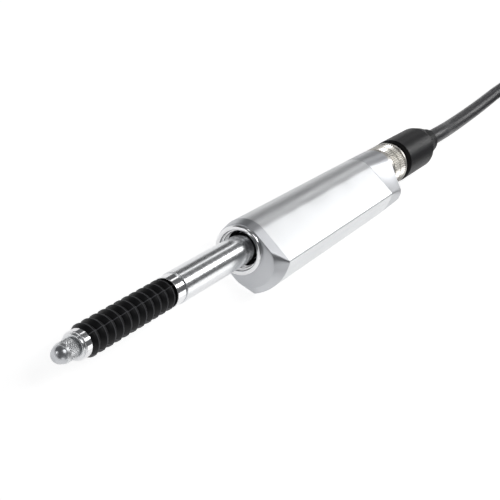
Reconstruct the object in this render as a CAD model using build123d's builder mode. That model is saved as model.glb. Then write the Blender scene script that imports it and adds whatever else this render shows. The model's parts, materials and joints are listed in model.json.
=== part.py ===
from build123d import *
import os
from math import acos, asin, atan2, cos, degrees, hypot, pi, radians, sin, sqrt, tan

# Linear gauge probe with a cable plugged into its rear socket.
# X is the measuring axis, with the contact towards +X. Z is up when the probe lies on a flat of
# its housing, and the housing's deep side points along +Y. The origin is on the measuring axis,
# at the middle of the clamping shank's free length. Sizes are millimetres.

# Fits
press_gap = 0.01
slide_gap = 0.03
free_gap = 0.3

# Clamping shank and its guide
shank_diameter = 8.0
clamp_length = 30.0
shank_bore = 6.6
shank_tail = 30.0
shank_tail_diameter = 7.6
shank_lip_length = 4.0
ring_seat_diameter = 6.6
groove_width = 0.4
groove_diameter = 7.4
plunger_diameter = 4.0
plunger_travel = 12.0
ball_diameter = 0.8
balls_per_row = 6
ball_rows = 4
ball_row_pitch = 4.2
cage_wall = 0.5
cage_end = 1.8
cage_front_gap = 1.5
pocket_gap = 0.06

# Front ring and front cap
ring_stand_out = 1.0
ring_diameter = 13.3
ring_bore = 10.8
ring_thread_diameter = 12.0
ring_thread_length = 3.0
ring_edge_radius = 0.45
cap_bevel_length = 3.4
cap_counterbore_depth = 5.0
wiper_length = 1.0
wiper_edge_radius = 0.3
wiper_gap = 0.15

# Housing section
housing_width = 15.0
housing_depth = 12.8
housing_back_radius = 14.0
housing_corner = 0.8
housing_wall = 1.5
housing_length = 73.0
pocket_corner = 1.0
front_width = 13.8
front_depth = 10.9
front_back_radius = 7.2
front_corner = 5.5
rear_cap_length = 15.3
rear_round_width = 14.8
rear_tail_width = 8.4
rear_depth = 12.4
rear_back_radius = 5.0
rear_corner = 3.4
cap_spigot_length = 11.6
rear_spigot_length = 3.0
rear_cavity_width = 8.6
rear_cavity_depth = 10.0
rear_cavity_length = 6.6

# Contact, bellows and their rings
bellows_length = 30.3
bellows_folds = 11
bellows_ridge_diameter = 7.5
bellows_valley_diameter = 5.9
bellows_wall = 0.45
bellows_ridge_flat = 0.3
bellows_valley_flat = 0.9
cuff_wall = 0.22
rear_clip_length = 3.2
rear_clip_diameter = 7.6
front_clip_length = 1.9
front_clip_diameter = 6.4
clip_chamfer = 0.2
front_seat_diameter = 5.0
plunger_flange_diameter = 5.8
plunger_flange_length = 0.7
contact_neck_length = 0.35
contact_neck_diameter = 3.4
contact_diameter = 4.5
contact_knurl_length = 2.7
contact_collar_length = 0.55
contact_collar_diameter = 4.2
contact_ball_diameter = 3.9
contact_thread_diameter = 2.5
contact_thread_length = 4.0
drill_tip_length = 1.0

# Return spring
stop_collar_length = 1.0
stop_collar_diameter = 5.6
spring_length = 24.0
spring_diameter = 5.8
spring_wire = 0.5
spring_turns = 8
spring_seat_length = 3.0

# Scale, its carrier and its guide
carrier_length = 3.7
carrier_width = 4.8
carrier_height = 7.2
carrier_corner = 0.6
plunger_seat_depth = 1.7
scale_length = 22.0
scale_height = 5.2
scale_thickness = 1.0
scale_seat_depth = 1.0
guide_pin_diameter = 1.4
guide_pin_length = 2.4
guide_pin_seat_depth = 0.8
guide_rail_thickness = 1.0
guide_rail_width = 4.8
guide_rail_margin = 3.0

# Frame that carries the scanning parts and the circuit board
foot_thickness = 2.0
foot_low_y = -2.5
foot_high_y = 9.8
frame_height = 10.0
arm_low_y = 4.6
arm_thickness = 1.6
arm_end_gap = 7.4
frame_screw_y = 8.0
frame_screw_z = 3.2
frame_screw_diameter = 1.6
frame_screw_length = 5.0
frame_screw_head_diameter = 2.8
frame_screw_head_length = 1.2
board_gap = 0.4
board_thickness = 0.8
board_front_gap = 2.0
board_height = 9.6
board_screw_diameter = 1.2
board_screw_head_diameter = 2.0
board_screw_head_length = 0.8
board_screw_inset = 2.2
chip_height = 1.0
chip_sizes = [(0.16, 0.42), (0.34, 0.68), (0.52, 0.31), (0.68, 0.52), (0.84, 0.38)]

# Scanning block
head_length = 7.0
head_clearance = 2.0
head_height = 6.8
head_air_gap = 0.3
lamp_low_y = -4.2
lamp_height = 6.0
bridge_thickness = 1.0
bridge_low_y = -3.6
optic_diameter = 3.0
lens_thickness = 1.0
lens_bulge = 0.4
lamp_length = 1.8
reticle_size = 4.4
reticle_thickness = 0.5
sensor_size = 3.4
sensor_thickness = 0.6

# Rear socket, plug and cable
socket_flange_diameter = 14.0
socket_flange_length = 1.2
socket_thread_diameter = 11.9
socket_thread_length = 8.1
socket_body_diameter = 11.0
socket_body_length = 8.7
socket_cavity_diameter = 9.0
socket_insert_setback = 10.0
pin_count = 7
pin_circle_diameter = 5.5
pin_diameter = 1.0
pin_reach = 7.5
pin_tail = 2.0
flex_thickness = 0.3
flex_width = 4.0
flex_lap = 1.0
flex_bend_run = 3.5
flex_drop = 2.0
flex_bend_radius = 1.5
nut_diameter = 14.6
nut_length = 11.7
nut_knurl_depth = 0.3
nut_knurls = 36
nut_rim_length = 1.1
nut_lip_length = 2.6
nut_gap = 0.1
plug_insert_diameter = 8.8
plug_insert_reach = 0.9
plug_shaft_diameter = 10.0
plug_flange_diameter = 11.6
plug_flange_length = 0.5
plug_seal_length = 0.5
contact_hole_gap = 0.1
contact_hole_spare = 1.0
plug_ring_length = 3.5
plug_ring_diameter = 14.8
grip_diameter = 15.0
grip_length = 30.0
grip_taper_length = 6.2
grip_end_diameter = 12.6
grip_socket_depth = 4.0
grip_scallops = 5
scallop_turn = 170.0
scallop_front_diameter = 6.0
scallop_rear_diameter = 10.4
scallop_circle_diameter = 21.0
relief_length = 7.7
relief_front_diameter = 10.6
relief_end_diameter = 9.2
relief_edge_radius = 1.2

# Cable, and the hank that its spare length is folded into
cable_diameter = 6.0
cable_reach = 162.0
hank_run_length = 96.0
hank_fold_radius = 18.0
hank_rows = 2
hank_layers = 2
hank_corner_radius = 2.7
tie_thickness = 0.8
tie_width = 6.0
tail_reach = 44.0
far_plug_y = 40.5

# Far plug, on the cable's other end
far_thread_length = 9.0
far_knurl_length = 7.0
far_insert_depth = 10.0
far_head_diameter = 9.8
far_shaft_diameter = 8.4
far_pin_reach = 8.0

# Places along the measuring axis
shoulder_x = clamp_length / 2
ring_face_x = -clamp_length / 2
cap_face_x = ring_face_x - ring_stand_out
body_front_x = cap_face_x - cap_bevel_length
body_rear_x = body_front_x - housing_length
rear_face_x = body_rear_x - rear_cap_length
cap_rear_x = body_front_x - cap_spigot_length
arm_length = cap_rear_x - body_rear_x - arm_end_gap
board_length = arm_length - foot_thickness - board_front_gap
tail_front_x = ring_face_x
counterbore_floor_x = cap_face_x - cap_counterbore_depth
shank_rear_x = ring_face_x - shank_tail
clip_rear_x = shoulder_x + groove_width
bellows_rear_x = clip_rear_x + rear_clip_length
bellows_front_x = bellows_rear_x + bellows_length
clip_front_x = bellows_front_x + front_clip_length
plunger_front_x = clip_front_x + plunger_flange_length
knurl_rear_x = plunger_front_x + contact_neck_length
knurl_front_x = knurl_rear_x + contact_knurl_length
collar_front_x = knurl_front_x + contact_collar_length

# Radii that follow from the sizes
shank_radius = shank_diameter / 2
tail_radius = shank_tail_diameter / 2
bore_radius = shank_bore / 2
plunger_radius = plunger_diameter / 2
guide_radius = plunger_radius + ball_diameter + 2 * slide_gap
ball_circle_radius = plunger_radius + slide_gap + ball_diameter / 2

# The floor that the probe lies on
floor_z = -housing_width / 2


def write(part, name):
    """Labels one finished piece and writes it to its own file."""
    part.label = name
    export_step(part, "parts/" + name + ".step")


def outline(points, plane=Plane.XY):
    """A face inside straight lines through the points."""
    with BuildSketch(plane) as face:
        with BuildLine():
            Polyline(*points, close=True)
        make_face()
    return face.sketch


def turned(profile):
    """Revolves a closed profile of (x, radius) points about the measuring axis."""
    revolve(outline(profile), axis=Axis.X)


def tube(x1, x2, inner, outer):
    """The closed profile of a plain tube between two stations, from its radii."""
    return [(x1, inner), (x2, inner), (x2, outer), (x1, outer)]


def across(x):
    """A plane square to the measuring axis, with its own x along Y and y along Z."""
    return Plane(origin=(x, 0, 0), x_dir=(0, 1, 0), z_dir=(1, 0, 0))


def housing_face(x, width, tail_width, depth, back_radius, corner):
    """A housing section: round about the axis, flat flanks and a shallow round back."""
    big = width / 2
    corner_z = tail_width / 2 - corner
    back_centre = depth - back_radius
    corner_y = back_centre + sqrt((back_radius - corner) ** 2 - corner_z**2)
    flank = atan2(corner_z, corner_y) + acos((big - corner) / hypot(corner_y, corner_z))
    lean = asin(corner_z / (back_radius - corner))
    middle = (flank + lean) / 2
    flank_y, flank_z = big * cos(flank), big * sin(flank)
    start_y, start_z = corner_y + corner * cos(flank), corner_z + corner * sin(flank)
    middle_y, middle_z = corner_y + corner * cos(middle), corner_z + corner * sin(middle)
    join_y, join_z = back_centre + back_radius * cos(lean), back_radius * sin(lean)
    with BuildSketch(across(x)) as face:
        with BuildLine():
            ThreePointArc((flank_y, flank_z), (-big, 0), (flank_y, -flank_z))
            Line((flank_y, -flank_z), (start_y, -start_z))
            ThreePointArc((start_y, -start_z), (middle_y, -middle_z), (join_y, -join_z))
            ThreePointArc((join_y, -join_z), (depth, 0), (join_y, join_z))
            ThreePointArc((join_y, join_z), (middle_y, middle_z), (start_y, start_z))
            Line((start_y, start_z), (flank_y, flank_z))
        make_face()
    return face.sketch


def body_face(x, inset=0.0):
    """The housing's outer section, or one drawn in from it all round."""
    corner = housing_corner if inset == 0 else pocket_corner
    width = housing_width - 2 * inset
    depth = housing_depth - inset
    return housing_face(x, width, width, depth, housing_back_radius - inset, corner)


def front_face(x):
    """The front cap's smaller section, where its bevel ends."""
    width = front_width
    return housing_face(x, width, width, front_depth, front_back_radius, front_corner)


def rear_face(x):
    """The rear cap's drop-shaped section, behind the socket."""
    width = rear_round_width
    return housing_face(x, width, rear_tail_width, rear_depth, rear_back_radius, rear_corner)


os.makedirs("parts", exist_ok=True)

# Clamping shank: one tube that carries the bellows' rear clip and runs back into the housing
seat_radius = ring_seat_diameter / 2
shank_profile = [
    (shank_rear_x, bore_radius),
    (bellows_rear_x - shank_lip_length, bore_radius),
    (bellows_rear_x - shank_lip_length, plunger_radius + free_gap),
    (bellows_rear_x, plunger_radius + free_gap),
    (bellows_rear_x, seat_radius),
    (clip_rear_x, seat_radius),
    (clip_rear_x, groove_diameter / 2),
    (shoulder_x, groove_diameter / 2),
    (shoulder_x, shank_radius),
    (tail_front_x, shank_radius),
    (tail_front_x, tail_radius),
    (shank_rear_x, tail_radius),
]
with BuildPart() as clamping_shank:
    turned(shank_profile)
write(clamping_shank.part, "clamping_shank")

# Front ring: a threaded ring that closes the cap's counterbore
ring_profile = [
    (cap_face_x - ring_thread_length, ring_bore / 2),
    (ring_face_x, ring_bore / 2),
    (ring_face_x, ring_diameter / 2),
    (cap_face_x, ring_diameter / 2),
    (cap_face_x, ring_thread_diameter / 2 - press_gap),
    (cap_face_x - ring_thread_length, ring_thread_diameter / 2 - press_gap),
]
with BuildPart() as front_ring:
    turned(ring_profile)
    ring_rims = front_ring.edges().filter_by(GeomType.CIRCLE).group_by(Axis.X)[-1]
    fillet(ring_rims, ring_edge_radius)
write(front_ring.part, "front_ring")

# Wiper seal at the bottom of the counterbore
wiper_radius = ring_thread_diameter / 2 - press_gap
wiper_rear_x = counterbore_floor_x
wiper_front_x = wiper_rear_x + wiper_length
with BuildPart() as shank_seal:
    turned(tube(wiper_rear_x, wiper_front_x, tail_radius + wiper_gap, wiper_radius))
    seal_rims = shank_seal.edges().filter_by(GeomType.CIRCLE).group_by(Axis.X)[-1]
    fillet(seal_rims, wiper_edge_radius)
write(shank_seal.part, "shank_seal")

# Front cap: a bevelled nose on the housing, with a plug that fills the housing's front end
with BuildPart() as front_cap:
    loft([body_face(body_front_x), front_face(cap_face_x)], ruled=True)
    extrude(body_face(cap_rear_x, housing_wall + slide_gap), amount=cap_spigot_length)
    with BuildSketch(across(cap_face_x)):
        Circle(ring_thread_diameter / 2)
    extrude(amount=-cap_counterbore_depth, mode=Mode.SUBTRACT)
    with BuildSketch(across(cap_face_x)):
        Circle(tail_radius + press_gap)
    extrude(amount=-(cap_face_x - cap_rear_x), mode=Mode.SUBTRACT)
    with BuildSketch(across(cap_rear_x)):
        with Locations((frame_screw_y, frame_screw_z), (frame_screw_y, -frame_screw_z)):
            Circle(frame_screw_diameter / 2 + press_gap)
    extrude(amount=frame_screw_length - foot_thickness + free_gap, mode=Mode.SUBTRACT)
write(front_cap.part, "front_cap")

# Housing: a drawn tube with one section all along, open at both ends for the caps
with BuildPart() as housing:
    extrude(body_face(body_rear_x), amount=housing_length)
    extrude(body_face(body_rear_x, housing_wall), amount=housing_length, mode=Mode.SUBTRACT)
write(housing.part, "housing")

# Rear cap: it runs from the housing's section down to a drop shape behind the socket
with BuildPart() as rear_cap:
    loft([rear_face(rear_face_x), body_face(body_rear_x)], ruled=True)
    extrude(body_face(body_rear_x, housing_wall + slide_gap), amount=rear_spigot_length)
    with BuildSketch(across(body_rear_x - rear_cavity_length)):
        RectangleRounded(
            rear_cavity_depth,
            rear_cavity_width,
            pocket_corner,
            align=(Align.MIN, Align.CENTER),
        )
    cavity_reach = rear_cavity_length + rear_spigot_length
    extrude(amount=cavity_reach, mode=Mode.SUBTRACT)
    with BuildSketch(across(rear_face_x)):
        Circle(socket_body_diameter / 2 + press_gap)
    extrude(amount=rear_cap_length + rear_spigot_length, mode=Mode.SUBTRACT)
write(rear_cap.part, "rear_cap")

# Guide sleeve: the hard track that the balls roll in
sleeve_front_x = bellows_rear_x - shank_lip_length - free_gap
sleeve_rear_x = ring_face_x - stop_collar_length - free_gap
with BuildPart() as guide_sleeve:
    turned(tube(sleeve_rear_x, sleeve_front_x, guide_radius, bore_radius - press_gap))
write(guide_sleeve.part, "guide_sleeve")

# Ball cage: it rolls along at half the plunger's speed, so it rests forward in the sleeve
cage_length = (ball_rows - 1) * ball_row_pitch + 2 * cage_end
cage_front_x = sleeve_front_x - cage_front_gap
cage_rear_x = cage_front_x - cage_length
first_row_x = cage_rear_x + cage_end


def row_places(row):
    """Where the balls of one row sit, each row turned half a step from the last."""
    x = first_row_x + row * ball_row_pitch
    turn = (row % 2) * pi / balls_per_row
    angles = [turn + 2 * pi * i / balls_per_row for i in range(balls_per_row)]
    return [(x, ball_circle_radius * cos(a), ball_circle_radius * sin(a)) for a in angles]


with BuildPart() as ball_cage:
    cage_inner = ball_circle_radius - cage_wall / 2
    turned(tube(cage_rear_x, cage_front_x, cage_inner, cage_inner + cage_wall))
    for row in range(ball_rows):
        for place in row_places(row):
            outwards = Plane(origin=(place[0], 0, 0), z_dir=(0, place[1], place[2]))
            with BuildSketch(outwards):
                Circle(ball_diameter / 2 + pocket_gap)
            extrude(amount=bore_radius, mode=Mode.SUBTRACT)
write(ball_cage.part, "ball_cage")

with BuildPart() as guide_balls:
    for row in range(ball_rows):
        with Locations(*row_places(row)):
            Sphere(ball_diameter / 2)
write(guide_balls.part, "guide_balls")

# Plunger: the measuring rod, with a flange that holds the bellows' front cuff
plunger_rear_x = shank_rear_x - free_gap - plunger_seat_depth
thread_radius = contact_thread_diameter / 2
flange_radius = plunger_flange_diameter / 2
front_seat_radius = front_seat_diameter / 2
plunger_profile = [
    (plunger_rear_x, 0),
    (plunger_front_x - contact_thread_length - drill_tip_length, 0),
    (plunger_front_x - contact_thread_length, thread_radius),
    (plunger_front_x, thread_radius),
    (plunger_front_x, flange_radius),
    (clip_front_x, flange_radius),
    (clip_front_x, front_seat_radius),
    (bellows_front_x, front_seat_radius),
    (bellows_front_x, plunger_radius),
    (plunger_rear_x, plunger_radius),
]
with BuildPart() as plunger:
    turned(plunger_profile)
write(plunger.part, "plunger")

# Stop collar: it ends the plunger's outward stroke and takes the spring's push
stop_front_x = ring_face_x - stop_collar_length - 2 * free_gap
stop_rear_x = stop_front_x - stop_collar_length
with BuildPart() as stop_collar:
    collar_radius = stop_collar_diameter / 2
    turned(tube(stop_rear_x, stop_front_x, plunger_radius + press_gap, collar_radius))
write(stop_collar.part, "stop_collar")

# Spring seat: a bush in the shank's rear end that the plunger runs through
with BuildPart() as spring_seat:
    seat_bore = plunger_radius + slide_gap
    seat_front_x = shank_rear_x + spring_seat_length
    turned(tube(shank_rear_x, seat_front_x, seat_bore, bore_radius - press_gap))
write(spring_seat.part, "spring_seat")

# Return spring between the collar and the seat
wire_radius = spring_wire / 2
spring_space = stop_rear_x - seat_front_x
spring_rise = spring_space - spring_wire - 2 * press_gap
spring_mean_radius = spring_diameter / 2 - wire_radius
with BuildPart() as return_spring:
    with BuildLine() as coil_line:
        Helix(
            pitch=spring_rise / spring_turns,
            height=spring_rise,
            radius=spring_mean_radius,
            center=(seat_front_x + wire_radius + press_gap, 0, 0),
            direction=(1, 0, 0),
        )
    with BuildSketch(Plane(origin=coil_line.line @ 0, z_dir=coil_line.line % 0)):
        RegularPolygon(wire_radius, 6)
    sweep()
write(return_spring.part, "return_spring")

# Contact: a knurled holder that screws into the plunger, and its ball
knurl_radius = contact_diameter / 2
ball_radius = contact_ball_diameter / 2
collar_rim_radius = contact_collar_diameter / 2
ball_centre_x = collar_front_x
contact_profile = [
    (plunger_front_x - contact_thread_length, 0),
    (plunger_front_x - contact_thread_length, thread_radius - press_gap),
    (plunger_front_x, thread_radius - press_gap),
    (plunger_front_x, contact_neck_diameter / 2),
    (knurl_rear_x, contact_neck_diameter / 2),
    (knurl_rear_x, knurl_radius),
    (knurl_front_x, knurl_radius),
    (collar_front_x, collar_rim_radius),
    (collar_front_x, 0),
]
with BuildPart() as contact_holder:
    turned(contact_profile)
    with Locations((ball_centre_x, 0, 0)):
        Sphere(ball_radius + press_gap, mode=Mode.SUBTRACT)
write(contact_holder.part, "contact_holder")

with BuildPart() as contact_ball:
    with Locations((ball_centre_x, 0, 0)):
        Sphere(ball_radius)
write(contact_ball.part, "contact_ball")

# Bellows: folds of one pitch between two cuffs that its rings clip down
fold_pitch = bellows_length / bellows_folds
ridge_radius = bellows_ridge_diameter / 2
valley_radius = bellows_valley_diameter / 2
slope_length = (fold_pitch - bellows_ridge_flat - bellows_valley_flat) / 2


def fold_line(inwards):
    """The folds' zigzag of (x, radius) points from rear to front, drawn in by a wall or not."""
    points = []
    for fold in range(bellows_folds):
        x = bellows_rear_x + fold * fold_pitch
        points.append((x + bellows_valley_flat / 2, valley_radius - inwards))
        points.append((x + bellows_valley_flat / 2 + slope_length, ridge_radius - inwards))
        ridge_end_x = x + bellows_valley_flat / 2 + slope_length + bellows_ridge_flat
        points.append((ridge_end_x, ridge_radius - inwards))
        points.append((x + fold_pitch - bellows_valley_flat / 2, valley_radius - inwards))
    return points


rear_cuff_inner = seat_radius + press_gap
rear_cuff_outer = seat_radius + cuff_wall
front_cuff_inner = front_seat_radius + press_gap
front_cuff_outer = front_seat_radius + cuff_wall
bellows_profile = [(clip_rear_x + press_gap, rear_cuff_outer)]
bellows_profile += [(bellows_rear_x, rear_cuff_outer)]
bellows_profile += fold_line(0)
bellows_profile += [(bellows_front_x, front_cuff_outer)]
bellows_profile += [(clip_front_x - press_gap, front_cuff_outer)]
bellows_profile += [(clip_front_x - press_gap, front_cuff_inner)]
bellows_profile += [(bellows_front_x, front_cuff_inner)]
bellows_profile += fold_line(bellows_wall)[::-1]
bellows_profile += [(bellows_rear_x + press_gap, rear_cuff_inner)]
bellows_profile += [(clip_rear_x + press_gap, rear_cuff_inner)]
with BuildPart() as bellows:
    turned(bellows_profile)
write(bellows.part, "bellows")

# Clip rings that hold the two cuffs
with BuildPart() as bellows_rear_ring:
    clip_inner = rear_cuff_outer + press_gap
    turned(tube(clip_rear_x, bellows_rear_x, clip_inner, rear_clip_diameter / 2))
write(bellows_rear_ring.part, "bellows_rear_ring")

with BuildPart() as bellows_front_ring:
    front_clip_inner = front_cuff_outer + press_gap
    turned(tube(bellows_front_x, clip_front_x, front_clip_inner, front_clip_diameter / 2))
    clip_rims = bellows_front_ring.edges().filter_by(GeomType.CIRCLE)
    chamfer(clip_rims.group_by(Axis.X)[-1].sort_by(SortBy.RADIUS)[-1], clip_chamfer)
write(bellows_front_ring.part, "bellows_front_ring")

# Scale carrier on the plunger's rear end, with its glass scale and guide pin
carrier_front_x = shank_rear_x - free_gap
carrier_rear_x = carrier_front_x - carrier_length
scale_front_x = carrier_rear_x + scale_seat_depth
scale_rear_x = scale_front_x - scale_length
pin_x = carrier_front_x - carrier_length / 2
with BuildPart() as scale_carrier:
    with BuildSketch(across(carrier_rear_x)):
        RectangleRounded(carrier_width, carrier_height, carrier_corner)
    extrude(amount=carrier_length)
    with BuildSketch(across(carrier_front_x)):
        Circle(plunger_radius + press_gap)
    extrude(amount=-plunger_seat_depth, mode=Mode.SUBTRACT)
    with BuildSketch(across(carrier_rear_x)):
        Rectangle(scale_thickness + 2 * press_gap, scale_height + 2 * press_gap)
    extrude(amount=scale_seat_depth, mode=Mode.SUBTRACT)
    with BuildSketch(Plane.XY.offset(carrier_height / 2)):
        with Locations((pin_x, 0)):
            Circle(guide_pin_diameter / 2 + press_gap)
    extrude(amount=-guide_pin_seat_depth, mode=Mode.SUBTRACT)
write(scale_carrier.part, "scale_carrier")

with BuildPart() as glass_scale:
    with BuildSketch(across(scale_rear_x)):
        Rectangle(scale_thickness, scale_height)
    extrude(amount=scale_length)
write(glass_scale.part, "glass_scale")

pin_low_z = carrier_height / 2 - guide_pin_seat_depth
with BuildPart() as guide_pin:
    with BuildSketch(Plane.XY.offset(pin_low_z)):
        with Locations((pin_x, 0)):
            Circle(guide_pin_diameter / 2)
    extrude(amount=guide_pin_length)
write(guide_pin.part, "guide_pin")

# Guide rail: its slot keeps the pin, and so the plunger, from turning
rail_low_z = shank_radius + free_gap
slot_length = plunger_travel + guide_pin_diameter + 2 * free_gap
rail_length = slot_length + 2 * guide_rail_margin
slot_middle_x = pin_x - plunger_travel / 2
with BuildPart() as guide_rail:
    with BuildSketch(Plane.XY.offset(rail_low_z)):
        rail_high_y = arm_low_y
        rail_middle_y = rail_high_y - (guide_rail_width / 2 + rail_high_y) / 2
        with Locations((slot_middle_x, rail_middle_y)):
            Rectangle(rail_length, guide_rail_width / 2 + rail_high_y)
        with Locations((slot_middle_x, 0)):
            slot_height = guide_pin_diameter + 2 * slide_gap
            SlotOverall(slot_length, slot_height, mode=Mode.SUBTRACT)
    extrude(amount=guide_rail_thickness)
write(guide_rail.part, "guide_rail")

# Scanner frame: a foot against the front cap and an arm along the housing's deep side
foot_rear_x = cap_rear_x - foot_thickness
arm_rear_x = cap_rear_x - arm_length
arm_high_y = arm_low_y + arm_thickness
board_front_x = foot_rear_x - board_front_gap
board_rear_x = board_front_x - board_length
board_low_y = arm_high_y + board_gap
board_screw_xs = [board_front_x - board_screw_inset, board_rear_x + board_screw_inset]
board_screw_z = board_height / 2 - board_screw_inset
board_screw_spots = [(x, z) for x in board_screw_xs for z in (-board_screw_z, board_screw_z)]


def side_plane(y):
    """A plane square to Y, with its own x along X and y along Z, facing the deep side."""
    return Plane(origin=(0, y, 0), x_dir=(1, 0, 0), z_dir=(0, -1, 0))


with BuildPart() as scanner_frame:
    with BuildSketch(across(foot_rear_x)):
        foot_middle_y = (foot_low_y + foot_high_y) / 2
        with Locations((foot_middle_y, 0)):
            Rectangle(foot_high_y - foot_low_y, frame_height)
        Circle(tail_radius + free_gap / 2, mode=Mode.SUBTRACT)
        with Locations((frame_screw_y, frame_screw_z), (frame_screw_y, -frame_screw_z)):
            Circle(frame_screw_diameter / 2 + press_gap, mode=Mode.SUBTRACT)
    extrude(amount=foot_thickness)
    with BuildSketch(side_plane(arm_high_y)):
        with Locations(((foot_rear_x + arm_rear_x) / 2, 0)):
            Rectangle(foot_rear_x - arm_rear_x, frame_height)
    extrude(amount=arm_thickness)
    with BuildSketch(side_plane(board_low_y)):
        with Locations(*board_screw_spots):
            Circle(board_screw_head_diameter / 2)
    extrude(amount=board_gap)
    with BuildSketch(side_plane(board_low_y)):
        with Locations(*board_screw_spots):
            Circle(board_screw_diameter / 2 + press_gap)
    extrude(amount=board_gap + arm_thickness, mode=Mode.SUBTRACT)
write(scanner_frame.part, "scanner_frame")

with BuildPart() as frame_screws:
    with BuildSketch(across(foot_rear_x)):
        with Locations((frame_screw_y, frame_screw_z), (frame_screw_y, -frame_screw_z)):
            Circle(frame_screw_diameter / 2)
    extrude(amount=frame_screw_length)
    with BuildSketch(across(foot_rear_x)):
        with Locations((frame_screw_y, frame_screw_z), (frame_screw_y, -frame_screw_z)):
            Circle(frame_screw_head_diameter / 2)
    extrude(amount=-frame_screw_head_length)
write(frame_screws.part, "frame_screws")

# Circuit board, its screws and its chips
board_high_y = board_low_y + board_thickness
with BuildPart() as circuit_board:
    with BuildSketch(side_plane(board_high_y)):
        with Locations(((board_front_x + board_rear_x) / 2, 0)):
            Rectangle(board_length, board_height)
        with Locations(*board_screw_spots):
            Circle(board_screw_diameter / 2 + press_gap, mode=Mode.SUBTRACT)
    extrude(amount=board_thickness)
write(circuit_board.part, "circuit_board")

with BuildPart() as board_screws:
    with BuildSketch(side_plane(board_high_y)):
        with Locations(*board_screw_spots):
            Circle(board_screw_diameter / 2)
    extrude(amount=board_thickness + board_gap + arm_thickness)
    with BuildSketch(side_plane(board_high_y)):
        with Locations(*board_screw_spots):
            Circle(board_screw_head_diameter / 2)
    extrude(amount=-board_screw_head_length)
write(board_screws.part, "board_screws")

# Each chip's place and size are shares of the board's length and height
with BuildPart() as board_chips:
    with BuildSketch(side_plane(board_high_y)):
        for share, size in chip_sizes:
            with Locations((board_front_x - share * board_length, 0)):
                Rectangle(size * board_height, size * board_height)
    extrude(amount=-chip_height)
write(board_chips.part, "board_chips")

# Scanning block: a lamp side and a sensor side, joined by a bridge under the glass scale
head_front_x = carrier_rear_x - plunger_travel - head_clearance
head_middle_x = head_front_x - head_length / 2
sensor_low_y = scale_thickness / 2 + head_air_gap
lamp_high_y = -scale_thickness / 2 - head_air_gap
bridge_high_z = -head_height / 2
with BuildPart() as scanning_block:
    with BuildSketch(across(head_front_x)):
        with Locations(((sensor_low_y + arm_low_y) / 2, 0)):
            Rectangle(arm_low_y - sensor_low_y, head_height)
        with Locations(((lamp_low_y + lamp_high_y) / 2, bridge_high_z + lamp_height / 2)):
            Rectangle(lamp_high_y - lamp_low_y, lamp_height)
        with Locations(((bridge_low_y + arm_low_y) / 2, bridge_high_z - bridge_thickness / 2)):
            Rectangle(arm_low_y - bridge_low_y, bridge_thickness)
    extrude(amount=-head_length)
    with BuildSketch(side_plane(lamp_high_y)):
        with Locations((head_middle_x, 0)):
            Circle(optic_diameter / 2 + press_gap)
    extrude(amount=lamp_high_y - lamp_low_y, mode=Mode.SUBTRACT)
    with BuildSketch(side_plane(sensor_low_y)):
        with Locations((head_middle_x, 0)):
            Rectangle(reticle_size + 2 * press_gap, reticle_size + 2 * press_gap)
    extrude(amount=-(reticle_thickness + sensor_thickness + free_gap), mode=Mode.SUBTRACT)
write(scanning_block.part, "scanning_block")

with BuildPart() as condenser_lens:
    lens_back_y = lamp_high_y - lens_bulge - lens_thickness
    bulge_radius = ((optic_diameter / 2) ** 2 + lens_bulge**2) / (2 * lens_bulge)
    with BuildSketch(Plane(origin=(head_middle_x, 0, 0), x_dir=(1, 0, 0), z_dir=(0, 0, 1))):
        with BuildLine():
            edge_y = lamp_high_y - lens_bulge
            crown = (0, edge_y + lens_bulge)
            rim = (optic_diameter / 2, edge_y)
            RadiusArc(crown, rim, bulge_radius)
            Polyline(rim, (optic_diameter / 2, lens_back_y), (0, lens_back_y), crown)
        make_face()
    revolve(axis=Axis((head_middle_x, 0, 0), (0, 1, 0)))
write(condenser_lens.part, "condenser_lens")

with BuildPart() as light_source:
    with BuildSketch(side_plane(lens_back_y - press_gap)):
        with Locations((head_middle_x, 0)):
            Circle(optic_diameter / 2)
    extrude(amount=lamp_length)
write(light_source.part, "light_source")

with BuildPart() as scanning_reticle:
    with BuildSketch(side_plane(sensor_low_y)):
        with Locations((head_middle_x, 0)):
            Rectangle(reticle_size, reticle_size)
    extrude(amount=-reticle_thickness)
write(scanning_reticle.part, "scanning_reticle")

with BuildPart() as light_sensor:
    with BuildSketch(side_plane(sensor_low_y + reticle_thickness + free_gap)):
        with Locations((head_middle_x, 0)):
            Rectangle(sensor_size, sensor_size)
    extrude(amount=-sensor_thickness)
write(light_sensor.part, "light_sensor")
print("frame and scanning parts written")

# Rear socket in the rear cap
flange_rear_x = rear_face_x - socket_flange_length
thread_end_x = flange_rear_x - socket_thread_length
socket_front_x = rear_face_x + socket_body_length
insert_face_x = thread_end_x + socket_insert_setback
socket_profile = [
    (socket_front_x, socket_cavity_diameter / 2),
    (socket_front_x, socket_body_diameter / 2),
    (rear_face_x, socket_body_diameter / 2),
    (rear_face_x, socket_flange_diameter / 2),
    (flange_rear_x, socket_flange_diameter / 2),
    (flange_rear_x, socket_thread_diameter / 2),
    (thread_end_x, socket_thread_diameter / 2),
    (thread_end_x, socket_cavity_diameter / 2),
]
with BuildPart() as socket_shell:
    turned(socket_profile)
write(socket_shell.part, "socket_shell")


def pin_spots():
    """The contact places of one connector: one in the middle and the rest on a circle."""
    radius = pin_circle_diameter / 2
    ring = [2 * pi * i / pin_count for i in range(pin_count)]
    return [(0, 0)] + [(radius * cos(a), radius * sin(a)) for a in ring]


with BuildPart() as socket_insert:
    with BuildSketch(across(insert_face_x)):
        Circle(socket_cavity_diameter / 2 - press_gap)
        with Locations(*pin_spots()):
            Circle(pin_diameter / 2 + press_gap, mode=Mode.SUBTRACT)
    extrude(amount=socket_front_x - insert_face_x)
write(socket_insert.part, "socket_insert")

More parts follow.
